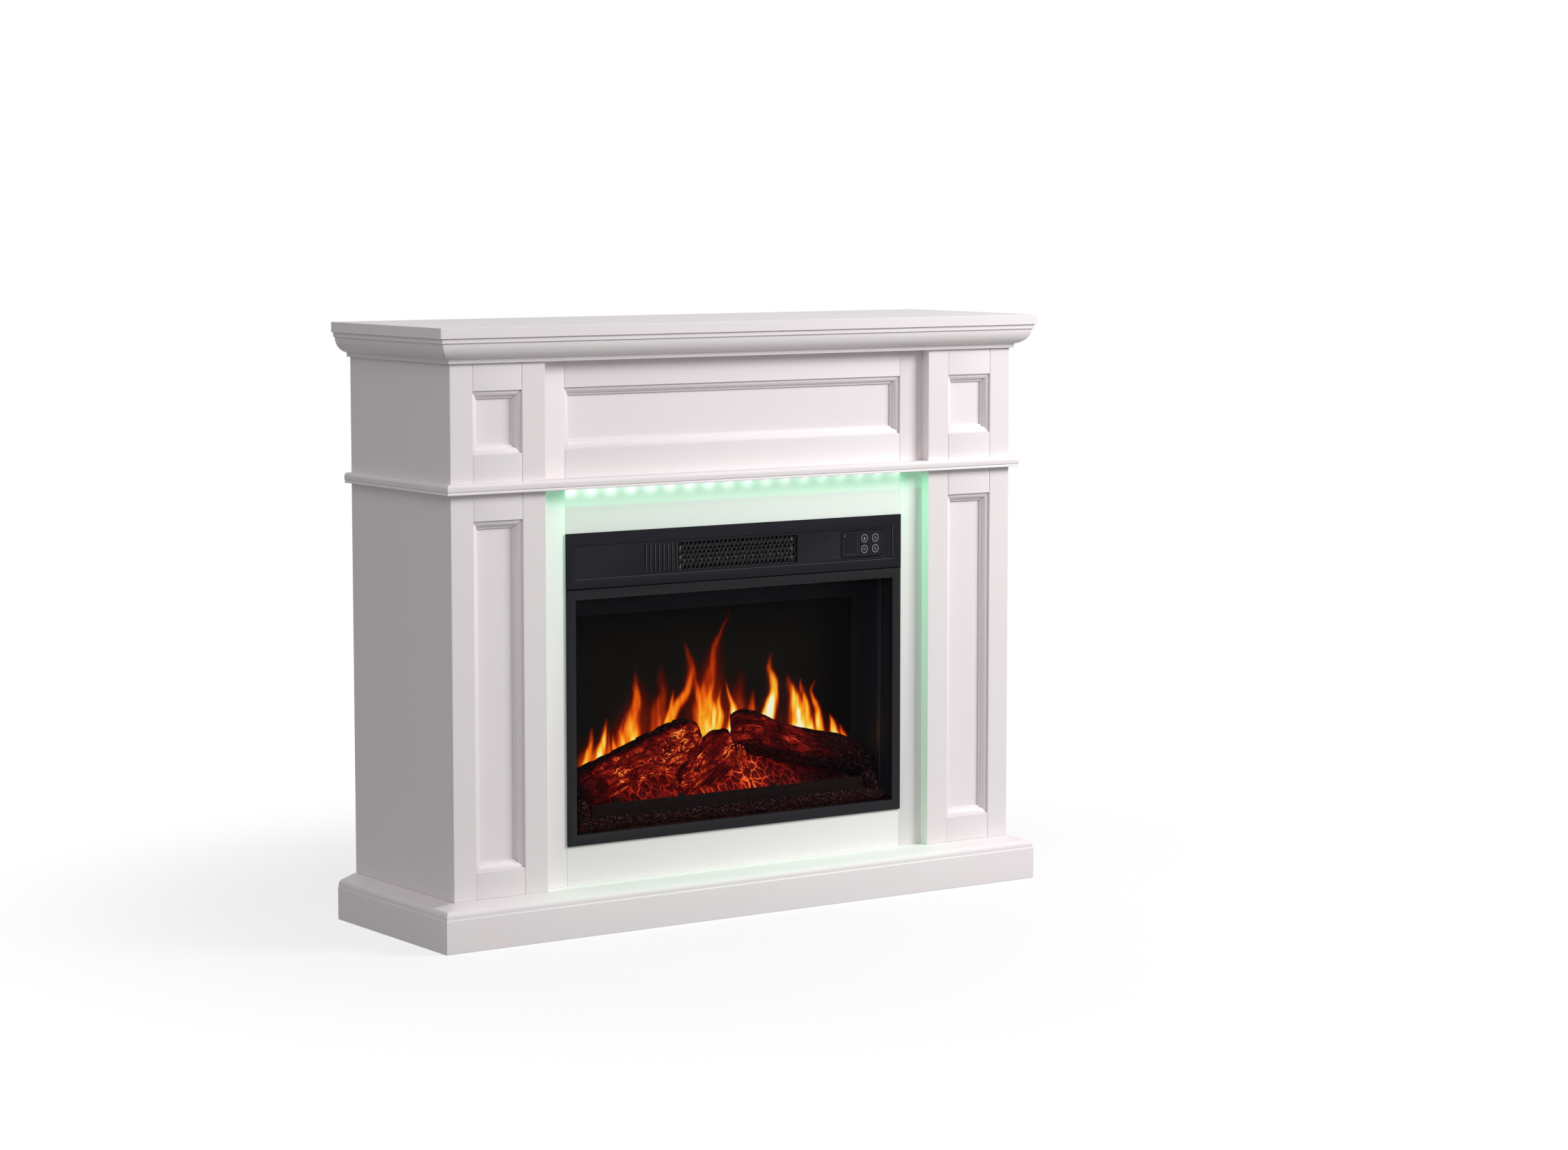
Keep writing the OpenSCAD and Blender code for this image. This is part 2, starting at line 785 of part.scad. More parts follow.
module fascia_panel() {
  grille_x = -grille_w / 2;
  grille_z = z_feature - grille_h / 2;
  color(shell_black) difference() {
    board(-half_insert, half_insert, y_face, y_centre, z_joint + fascia_gap / 2, z_insert_top);
    difference() {
      board(recess_border - half_insert, half_insert - recess_border, y_face - cut, y_face + recess_d,
            z_feature - recess_h / 2, z_feature + recess_h / 2);
      for (i = [0 : rib_count - 1]) translate([grille_x - rib_gap - i * rib_pitch, 0, 0])
        board(-rib_w, 0, y_face + rib_sink, y_face + recess_d + cut, grille_z, grille_z + grille_h);
    }
    board(grille_x, -grille_x, y_face - cut, y_centre + cut, grille_z, grille_z + grille_h);
    round_plate(control_x, control_z, control_w + 2 * control_play, control_h + 2 * control_play,
                control_r + control_play, y_face - cut, y_centre + cut);
  }
}

module window_frame() {
  color(shell_black) difference() {
    board(-half_insert, half_insert, y_face, y_centre, z_insert, z_joint - fascia_gap / 2);
    board(-win_half, win_half, y_face - cut, y_centre + cut, z_win, z_win_top);
  }
}

module front_glass() {
  color([0.6, 0.65, 0.7, 0.3])
    board(-house_in, house_in, y_centre, y_centre + glass_t, z_floor, z_ceiling);
}

module heater_grille() {
  pitch_x = grille_w / slot_columns;
  pitch_z = grille_h / slot_rows;
  color("dimgray") translate([0, y_centre + sheet_t, z_feature]) rotate([90, 0, 0])
    linear_extrude(sheet_t) difference() {
      square([grille_w + 2 * grille_lap, grille_h + 2 * grille_lap], center = true);
      for (c = [0 : slot_columns - 2], r = [0 : slot_rows - 1])
        translate([(c + 1 - slot_columns / 2) * pitch_x, (r + 0.5 - slot_rows / 2) * pitch_z])
          slot(pitch_x * slot_share, pitch_z - slot_bridge);
    }
}

// ---------------------------------------------------------------- controls

// Middle of the button in column cx and row rz, each -1 or 1
function button_at(cx, rz) =
  [control_x + buttons_x + cx * button_dx / 2, control_z + rz * button_dz / 2];

module control_plate() {
  color(shell_black) difference() {
    union() {
      round_plate(control_x, control_z, control_w, control_h, control_r, y_face + control_sink, y_rim);
      round_plate(control_x, control_z, control_w + 2 * control_rim, control_h + 2 * control_rim,
                  control_r, y_centre, y_rim);
      for (sx = [-1, 1], sz = [-1, 1])
        y_rod(y_rim, y_board, control_x + sx * (control_w / 2 - post_in),
              control_z + sz * (control_h / 2 - post_r + collar_gap * 2), post_r);
    }
    for (cx = [-1, 1], rz = [-1, 1]) {
      at = button_at(cx, rz);
      y_rod(y_face - cut, y_rim + cut, at[0], at[1], button_r + button_play);
    }
    display_block(display_w / 2 + display_play, display_h / 2 + display_play, y_face - cut);
  }
}

// The space of the display, from the plane y to the floor of its pocket
module display_block(half_x, half_z, y) {
  x = control_x + display_x;
  board(x - half_x, x + half_x, y, y_plate + display_t, control_z - half_z, control_z + half_z);
}

module display_window() {
  color("black") display_block(display_w / 2, display_h / 2, y_plate + display_play);
}

// A button with the collar that keeps it behind the plate
module button(cx, rz) {
  at = button_at(cx, rz);
  color("darkslategray") {
    y_rod(y_plate - button_proud, button_back, at[0], at[1], button_r);
    y_rod(y_rim + collar_gap, button_back, at[0], at[1], button_r + collar_w);
  }
}

module control_board() {
  actuator = button_back + button_travel + actuator_gap;
  color("darkgreen") {
    board(control_x - control_w / 2, control_x + control_w / 2, y_board, y_board + pcb_t,
          control_z - control_h / 2, control_z + control_h / 2);
    for (cx = [-1, 1], rz = [-1, 1]) {
      at = button_at(cx, rz);
      y_rod(actuator, y_board, at[0], at[1], actuator_r);
      board(at[0] - switch_half, at[0] + switch_half, (actuator + y_board) / 2, y_board,
            at[1] - switch_half, at[1] + switch_half);
    }
  }
}

// ---------------------------------------------------------------- housing

module housing_sides() {
  color(shell_black) both_sides() difference() {
    union() {
      board(house_in, house_half, y_centre, y_house_back, z_house, z_house_top);
      board(house_in - back_flange_w, house_in, y_house_back - sheet_t, y_house_back, z_floor, z_roof);
    }
    for (z = back_screw_z())
      y_rod(y_house_back - sheet_t - cut, y_house_back + cut, back_screw_x, z, small_r + screw_play);
  }
}

module housing_top() {
  color(shell_black) board(-house_in, house_in, y_centre, y_house_back, z_roof, z_house_top);
}

module housing_base() {
  color(shell_black) board(-house_in, house_in, y_centre, y_house_back, z_house, z_floor);
}

// Heights of the screws along each edge of the back plate
function back_screw_z() =
  [for (i = [0 : 3]) z_floor + screw_inset + i * (z_roof - z_floor - 2 * screw_inset) / 3];

module housing_back() {
  color(shell_black) difference() {
    board(-house_half, house_half, y_house_back, y_house_back + sheet_t, z_house, z_house_top);
    both_sides() for (z = back_screw_z())
      y_rod(y_house_back - cut, y_house_back + sheet_t + cut, back_screw_x, z, small_r + screw_play);
    y_rod(y_house_back - cut, y_house_back + sheet_t + cut, gland_x, gland_z, gland_r);
    for (i = [-6 : 6])
      board(i * vent_pitch - vent_w / 2, i * vent_pitch + vent_w / 2, y_house_back - cut,
            y_house_back + sheet_t + cut, z_roof - vent_drop - vent_h, z_roof - vent_drop);
  }
}

module housing_screws() {
  color("silver") both_sides() for (z = back_screw_z())
    translate([back_screw_x, y_house_back + sheet_t, z]) rotate([-90, 0, 0])
      screw(small_r, small_l);
}

module firebox_ceiling() {
  color(shell_black)
    board(-house_in, house_in, y_centre, y_house_back - sheet_t, z_ceiling, z_ceiling + sheet_t);
}

// ---------------------------------------------------------------- firebox

// A valance above the flames and a strip at each side of the screen
module flame_mask() {
  color("black") {
    board(-house_in, house_in, y_mask, y_screen, z_ceiling - valance_h, z_ceiling);
    both_sides()
      board(house_in - mask_strip_w, house_in, y_mask, y_screen, z_floor, z_ceiling - valance_h - seam);
  }
}

module flame_screen() {
  color([0.2, 0.16, 0.14]) board(-house_in, house_in, y_screen, y_screen + screen_t, z_floor, z_ceiling);
}

// A shaft with reflecting tabs set round it in turn
module flame_rotor() {
  pitch = 2 * (rotor_half - rotor_motor_t - bearing_w) / tab_count;
  color("silver") {
    x_rod(-rotor_half, rotor_half, y_rotor, z_rotor, rotor_shaft_r);
    for (i = [0 : tab_count - 1])
      translate([(i + 0.5 - tab_count / 2) * pitch, y_rotor, z_rotor]) rotate([i * tab_turn, 0, 0])
        board(-tab_w / 2, tab_w / 2, -tab_t / 2, tab_t / 2, 0, tab_reach);
  }
}

module rotor_motor() {
  color("gainsboro") difference() {
    union() {
      x_rod(house_in - rotor_motor_t, house_in, y_rotor, z_rotor, rotor_motor_r);
      x_rod(house_in - rotor_motor_t - boss_h, house_in, y_rotor, z_rotor, boss_r);
    }
    x_rod(house_in - rotor_motor_t - boss_h - cut, rotor_half + end_play, y_rotor, z_rotor,
          rotor_shaft_r + shaft_play);
  }
}

module rotor_bearing() {
  color("whitesmoke") difference() {
    board(-house_in, bearing_w - house_in, y_rotor - bearing_w, y_rotor + bearing_w, z_floor,
          z_rotor + bearing_w);
    x_rod(-rotor_half - end_play, bearing_w + cut - house_in, y_rotor, z_rotor, rotor_shaft_r + shaft_play);
  }
}

// Two boards of lights on the firebox floor: one under the rotor, one under the embers
module flame_lights() {
  half = house_in - lamp_inset;
  color("darkgreen") for (y = [y_rotor - lamp_d / 2, y_bed + bed_wall + lamp_gap]) {
    board(-half, half, y, y + lamp_d, z_floor, z_floor + pcb_t);
    for (i = [-5 : 5]) translate([i * half / 6, y + (lamp_d - chip_w) / 2, z_floor + pcb_t])
      board(-chip_w / 2, chip_w / 2, 0, chip_w, 0, chip_t);
  }
}

// The low log along the front, with a foot at each end that reaches back beside the grate
module front_log() {
  r = front_log_d / 2;
  y = y_centre + glass_t + log_gap + r;
  for (z = [z_floor + r, z_floor + front_log_h - r]) x_rod(-log_end, log_end, y, z, r);
  board(-log_end, log_end, y - r, y + r, z_floor + r, z_floor + front_log_h - r);
  both_sides() board(bar_half + log_gap, log_end, y, y_bed + bed_wall, z_floor, z_floor + front_log_h - r);
}

// The bank of embers, sloping up from the grate to the back
module ember_bank() {
  translate([-log_end, 0, 0]) rotate([90, 0, 90]) linear_extrude(2 * log_end) polygon([
    [y_bed, z_floor], [y_bed, z_floor + bed_h], [y_bed + bed_rise, z_floor + bed_h + bed_rise],
    [y_log_back, z_floor + bed_h + bed_rise], [y_log_back, z_floor]
  ]);
}

// The three logs, each from its low end to its cut end
module upper_logs() {
  y = y_log_back - log_r;
  bar_between([-log_end, y, z_floor + left_log_z[0]], [-left_log_in, y, z_floor + left_log_z[1]], log_r);
  bar_between([middle_log_x[0], y_log_back - middle_log_r / 2, z_floor + middle_log_z[0]],
              [middle_log_x[1], y_bed + middle_log_r / 2, z_floor + middle_log_z[1]], middle_log_r);
  bar_between([log_end, y, z_floor + right_log_z[0]], [right_log_in, y, z_floor + right_log_z[1]], log_r);
}

module log_set() {
  color([0.35, 0.1, 0.06]) {
    front_log();
    difference() {
      intersection() {
        union() {
          ember_bank();
          upper_logs();
        }
        board(-log_end, log_end, y_bed, y_log_back, z_floor, z_ceiling);
      }
      board(bed_wall * 2 - log_end, log_end - bed_wall * 2, y_bed + bed_wall, y_log_back - bed_wall,
            z_floor - cut, z_floor + bed_h - bed_wall);
    }
  }
}

module fire_grate() {
  z_bar = z_floor + bar_rise;
  color([0.08, 0.07, 0.07]) {
    board(-bar_half, bar_half, y_bar, y_bar + bar_t, z_bar, z_bar + bar_h);
    for (share = bar_tabs) translate([share * bar_half, 0, 0])
      board(-bar_tab_w / 2, bar_tab_w / 2, y_bar, y_bar + bar_t, z_bar + bar_h, z_bar + bar_h + bar_tab_h);
    both_sides() board(bar_half - bar_tab_w, bar_half, y_bar, y_bar + bar_t, z_floor, z_bar);
  }
}

// ---------------------------------------------------------------- blower and heater

// The section of the blower's wall: a back half ring and two straight duct plates
module scroll_section() {
  difference() {
    union() {
      circle(r = scroll_out);
      translate([y_duct - y_blower, -scroll_out]) square([y_blower - y_duct, 2 * scroll_out]);
    }
    circle(r = scroll_r);
    translate([y_duct - y_blower - cut, -scroll_r]) square([y_blower - y_duct + cut, 2 * scroll_r]);
    rotate(intake_turn) translate([intake_in, 0]) square([2 * scroll_out, scroll_r]);
  }
}

module blower_housing() {
  color("silver") {
    translate([-scroll_half, y_blower, z_blower]) rotate([90, 0, 90]) linear_extrude(2 * scroll_half)
      scroll_section();
    both_sides() difference() {
      union() {
        x_rod(scroll_half, scroll_half + scroll_t, y_blower, z_blower, scroll_out);
        board(scroll_half, scroll_half + scroll_t, y_duct, y_blower,
              z_blower - scroll_out, z_blower + scroll_out);
      }
      x_rod(scroll_half - cut, scroll_half + scroll_t + cut, y_blower, z_blower, wheel_shaft_r + shaft_play);
    }
  }
}

module blower_wheel() {
  shaft_end = scroll_half + scroll_t;
  color("lightslategray") {
    x_rod(-shaft_end - shaft_stub, shaft_end + motor_socket - end_play, y_blower, z_blower, wheel_shaft_r);
    for (x = [-wheel_l / 2, -disc_t / 2, wheel_l / 2 - disc_t])
      x_rod(x, x + disc_t, y_blower, z_blower, wheel_r);
    for (i = [0 : blade_count - 1])
      translate([0, y_blower, z_blower]) rotate([i * 360 / blade_count, 0, 0])
        board(-wheel_l / 2, wheel_l / 2, -blade_t / 2, blade_t / 2, wheel_r - blade_d, wheel_r - blade_t);
  }
}

module blower_motor() {
  x0 = scroll_half + scroll_t;
  color("dimgray") difference() {
    board(x0, x0 + blower_motor_l, y_blower - motor_half, y_blower + motor_half,
          z_blower - motor_half, z_blower + motor_half);
    x_rod(x0 - cut, x0 + motor_socket, y_blower, z_blower, wheel_shaft_r + shaft_play);
  }
}

// Three heating bars across a row of thin fins, between the two duct plates
module heater_element() {
  half = scroll_half - end_gap / 2;
  fins = floor(half / fin_pitch - 0.5);
  bar_half_h = heater_bar_h / 2;
  color("lightgray") {
    for (i = [-fins : fins]) translate([i * fin_pitch, 0, 0])
      board(-fin_t / 2, fin_t / 2, y_heater, y_heater + heater_d, z_blower - scroll_r, z_blower + scroll_r);
    for (i = [-1 : 1]) translate([0, 0, z_blower + i * scroll_r / 2])
      board(-half, half, y_heater + fin_t, y_heater + heater_d - fin_t, -bar_half_h, bar_half_h);
  }
}

module power_board() {
  x0 = power_inset - house_in;
  y0 = y_centre + 2 * power_inset;
  z0 = z_ceiling + sheet_t;
  z1 = z0 + post_h + pcb_t;
  color("darkgreen") {
    board(x0, x0 + power_w, y0, y0 + power_d, z0 + post_h, z1);
    for (x = [x0 + post_in, x0 + power_w - post_in], y = [y0 + post_in, y0 + power_d - post_in])
      translate([x, y, z0]) cylinder(h = post_h, r = post_r);
    translate([x0, y0, z1]) {
      board(power_w * 0.2, power_w * 0.5, power_d * 0.1, power_d * 0.5, 0, transformer_h);
      board(power_w * 0.6, power_w * 0.9, power_d * 0.4, power_d * 0.6, 0, relay_h);
    }
  }
}

module cord_gland() {
  y_out = y_house_back + sheet_t;
  color("black") difference() {
    union() {
      y_rod(y_house_back - gland_inner, y_out + gland_outer, gland_x, gland_z, gland_r - screw_play);
      y_rod(y_out, y_out + boss_h, gland_x, gland_z, gland_flange_r);
    }
    y_rod(y_house_back - gland_inner - cut, y_out + gland_outer + cut, gland_x, gland_z, gland_bore_r);
  }
}

top_board();
crown_moulding();
belt_moulding();
plinth_moulding();
plinth_deck();
base_bearers();
leg_stiles(-1);  // left_leg_stiles
leg_rails(-1);  // left_leg_rails
leg_panels(-1);  // left_leg_panels
leg_beads(-1);  // left_leg_beads
leg_stiles(1);  // right_leg_stiles
leg_rails(1);  // right_leg_rails
leg_panels(1);  // right_leg_panels
leg_beads(1);  // right_leg_beads
centre_stiles();
frieze_rails();
frieze_panel();
frieze_bead();
header_board();
apron_board();
side_panel(-1);  // left_side_panel
side_panel(1);  // right_side_panel
partition_boards();
insert_shelf();
back_rails();
assembly_screws();
light_strip();
light_controller();
fascia_panel();
window_frame();
front_glass();
heater_grille();
control_plate();
display_window();
button(-1, 1);  // button_flame
button(1, 1);  // button_power
button(-1, -1);  // button_timer
button(1, -1);  // button_heat
control_board();
housing_sides();
housing_top();
housing_base();
housing_back();
housing_screws();
firebox_ceiling();
flame_mask();
flame_screen();
flame_rotor();
rotor_motor();
rotor_bearing();
flame_lights();
log_set();
fire_grate();
blower_housing();
blower_wheel();
blower_motor();
heater_element();
power_board();
cord_gland();
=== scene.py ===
"""Electric fireplace: a white panelled mantel around a black insert with logs and flames.

Metres throughout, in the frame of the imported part: the origin is on the floor under the
middle of the fireplace, the front faces -Y and Z points up. The logs, the flames and the
signs on the buttons are laid out in millimetres, which MM turns into metres.
"""

import json
import logging
import math
from collections.abc import Callable, Iterable, Iterator, Sequence
from dataclasses import dataclass
from enum import Enum
from typing import Any

import bmesh
import bpy
from mathutils import Matrix, Vector, noise


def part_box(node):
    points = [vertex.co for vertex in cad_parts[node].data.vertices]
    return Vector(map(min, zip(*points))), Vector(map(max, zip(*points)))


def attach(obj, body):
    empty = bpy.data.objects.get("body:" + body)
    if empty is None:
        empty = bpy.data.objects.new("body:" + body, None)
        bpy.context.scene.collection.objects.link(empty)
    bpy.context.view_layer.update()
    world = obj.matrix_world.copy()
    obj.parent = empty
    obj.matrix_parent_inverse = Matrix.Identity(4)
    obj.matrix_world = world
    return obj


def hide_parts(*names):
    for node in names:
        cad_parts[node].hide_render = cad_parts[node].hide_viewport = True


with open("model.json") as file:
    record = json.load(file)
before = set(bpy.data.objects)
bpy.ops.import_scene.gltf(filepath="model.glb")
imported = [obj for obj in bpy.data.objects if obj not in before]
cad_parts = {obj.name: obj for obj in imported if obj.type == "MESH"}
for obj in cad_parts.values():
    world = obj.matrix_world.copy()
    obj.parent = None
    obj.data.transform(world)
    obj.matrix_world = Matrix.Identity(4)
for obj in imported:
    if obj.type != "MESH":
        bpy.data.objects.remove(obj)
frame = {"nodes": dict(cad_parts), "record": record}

MM = 0.001
SEED = 1
CABINET = "cabinet"
Colour = tuple[float, float, float]
Point = tuple[float, float, float]
BLACK: Colour = (0.0, 0.0, 0.0)
WHITE: Colour = (1.0, 1.0, 1.0)

log = logging.getLogger("fireplace")


def scaled(colour: Colour, factor: float) -> Colour:
    """Return a colour made darker or paler."""
    return tuple(part * factor for part in colour)


# ---------------------------------------------------------------- shader sums


class Value:
    """An output of a shader node, on which Python's operators add Math nodes."""

    def __init__(self, web: "Web", socket: bpy.types.NodeSocket) -> None:
        """Keep the tree and the socket that this value stands for."""
        self.web = web
        self.socket = socket

    def math(self, operation: str, *others: Any, clamp: bool = False) -> "Value":
        """Return the result of a Math node whose first input is this value."""
        return self.web.math(operation, self, *others, clamp=clamp)

    def __add__(self, other: Any) -> "Value":
        """Return self + other."""
        return self.math("ADD", other)

    def __sub__(self, other: Any) -> "Value":
        """Return self - other."""
        return self.math("SUBTRACT", other)

    def __rsub__(self, other: Any) -> "Value":
        """Return other - self."""
        return self.web.math("SUBTRACT", other, self)

    def __mul__(self, other: Any) -> "Value":
        """Return self * other."""
        return self.math("MULTIPLY", other)

    def __truediv__(self, other: Any) -> "Value":
        """Return self / other."""
        return self.math("DIVIDE", other)

    def __rtruediv__(self, other: Any) -> "Value":
        """Return other / self."""
        return self.web.math("DIVIDE", other, self)

    def __pow__(self, other: Any) -> "Value":
        """Return self to the power of other."""
        return self.math("POWER", other)

    def __neg__(self) -> "Value":
        """Return -self."""
        return self * -1.0

    def __abs__(self) -> "Value":
        """Return the size of self."""
        return self.math("ABSOLUTE")

    __radd__ = __add__
    __rmul__ = __mul__

    def above(self, floor: float) -> "Value":
        """Return self, held above a floor."""
        return self.math("MAXIMUM", floor)

    def clamp(self) -> "Value":
        """Return self held between 0 and 1."""
        return self.math("ADD", 0.0, clamp=True)

    def exp(self) -> "Value":
        """Return e to the power of self."""
        return self.math("EXPONENT")

    def step(self, low: float, high: float) -> "Value":
        """Return a smooth step from 0 at low to 1 at high; low may be the larger."""
        if low > high:
            return 1.0 - self.step(high, low)
        return self.web.value("MapRange", {"interpolation_type": "SMOOTHSTEP"}, {0: self, 1: low, 2: high})


class Cells(Enum):
    """What a pattern of cells gives back: the way to a cell's heart, or to its edge."""

    NEAREST = "F1"
    EDGE = "DISTANCE_TO_EDGE"


class Web:
    """The node tree of a material or of the world."""

    def __init__(self, owner: bpy.types.Material | bpy.types.World) -> None:
        """Empty the owner's node tree and keep it."""
        owner.use_nodes = True
        self.tree = owner.node_tree
        self.tree.nodes.clear()

    def node(self, kind: str, settings: dict | None = None, values: dict | None = None) -> bpy.types.Node:
        """Make any shader node.

        Args:
            kind: The node's type without its "ShaderNode" prefix.
            settings: Its properties, set first; "stops" fills a colour ramp.
            values: A Value, number, colour or vector for each input, by name or index.

        Returns:
            The new node.
        """
        node = self.tree.nodes.new("ShaderNode" + kind)
        for name, setting in (settings or {}).items():
            if name == "stops":
                marks = node.color_ramp.elements
                while len(marks) < len(setting):
                    marks.new(1.0)
                for mark, (place, colour) in zip(marks, setting):
                    mark.position = place
                    mark.color = (*colour, 1.0)
            else:
                setattr(node, name, setting)
        for key, value in (values or {}).items():
            socket = node.inputs[key]
            if isinstance(value, Value):
                self.tree.links.new(value.socket, socket)
            elif isinstance(value, tuple) and socket.type == "RGBA":
                socket.default_value = (*value, 1.0)
            else:
                socket.default_value = value
        return node

    def value(self, kind: str, settings: dict | None = None, values: dict | None = None,
              out: int | str = 0) -> Value:
        """Make a node and return one of its outputs."""
        return Value(self, self.node(kind, settings, values).outputs[out])

    def math(self, operation: str, *terms: Any, clamp: bool = False) -> Value:
        """Return the result of a Math node on values and numbers."""
        return self.value("Math", {"operation": operation, "use_clamp": clamp}, dict(enumerate(terms)))

    def place(self, scale: Point = (1.0, 1.0, 1.0), turn: Point = (0.0, 0.0, 0.0)) -> Value:
        """Return the place on the surface, turned and scaled."""
        spot = self.value("TexCoord", out="Object")
        return self.value("Mapping", values={"Vector": spot, "Rotation": turn, "Scale": scale})

    def stretch(self, spot: Value, scale: Point) -> Value:
        """Return a coordinate scaled along its own axes."""
        return self.value("Mapping", values={"Vector": spot, "Scale": scale})

    def warp(self, spot: Value, scale: float, amount: float) -> Value:
        """Return a coordinate pushed about by a cloudy pattern."""
        push = self.value("TexNoise", values={"Vector": spot, "Scale": scale, "Detail": 2.0}, out="Color")
        return self.value("VectorMath", {"operation": "MULTIPLY_ADD"},
                          {0: push, 1: (amount, amount, amount), 2: spot})

    def split(self, vector: Value) -> tuple[Value, Value, Value]:
        """Return the three numbers of a vector."""
        node = self.node("SeparateXYZ", values={0: vector})
        return tuple(Value(self, socket) for socket in node.outputs)

    def kept(self, name: str) -> tuple[Value, Value, Value]:
        """Return the three numbers that the piece keeps at each point under a name."""
        return self.split(self.value("Attribute", {"attribute_name": name}, out="Vector"))

    def noise(self, spot: Value, scale: float, detail: float = 2.0, rough: float = 0.5) -> Value:
        """Return a cloudy pattern from 0 to 1."""
        return self.value("TexNoise", values={
            "Vector": spot, "Scale": scale, "Detail": detail, "Roughness": rough})

    def cells(self, spot: Value, scale: float, feature: Cells = Cells.NEAREST,
              out: str = "Distance") -> Value:
        """Return a pattern of cells."""
        return self.value("TexVoronoi", {"feature": feature.value}, {"Vector": spot, "Scale": scale}, out)

    def blend(self, share: Value | float, low: Value | Colour, high: Value | Colour) -> Value:
        """Return a mix of two colours."""
        return self.value("Mix", {"data_type": "RGBA"}, {0: share, 6: low, 7: high}, out=2)

    def ramp(self, share: Value, *stops: tuple[float, Colour]) -> Value:
        """Return a colour that runs through the stops."""
        return self.value("ValToRGB", {"stops": stops}, {0: share})

    def bump(self, height: Value, depth: float) -> Value:
        """Return a normal roughened by a height; depth is the height of 1, in metres."""
        return self.value("Bump", values={"Height": height, "Distance": depth})

    def surface(self, values: dict) -> None:
        """Finish the tree with one surface."""
        self.node("OutputMaterial", values={"Surface": self.value("BsdfPrincipled", values=values)})


# ---------------------------------------------------------------- finishes


@dataclass(frozen=True)
class Finish:
    """A surface with its name and the record's slot that it belongs to."""

    name: str
    slot: str

    def material(self) -> bpy.types.Material:
        """Return the material, which is made the first time it is asked for."""
        made = bpy.data.materials.get(self.name)
        if made is None:
            made = bpy.data.materials.new(self.name)
            self.paint(Web(made))
        return made

    def paint(self, web: Web) -> None:
        """Build the nodes of the surface."""
        raise NotImplementedError


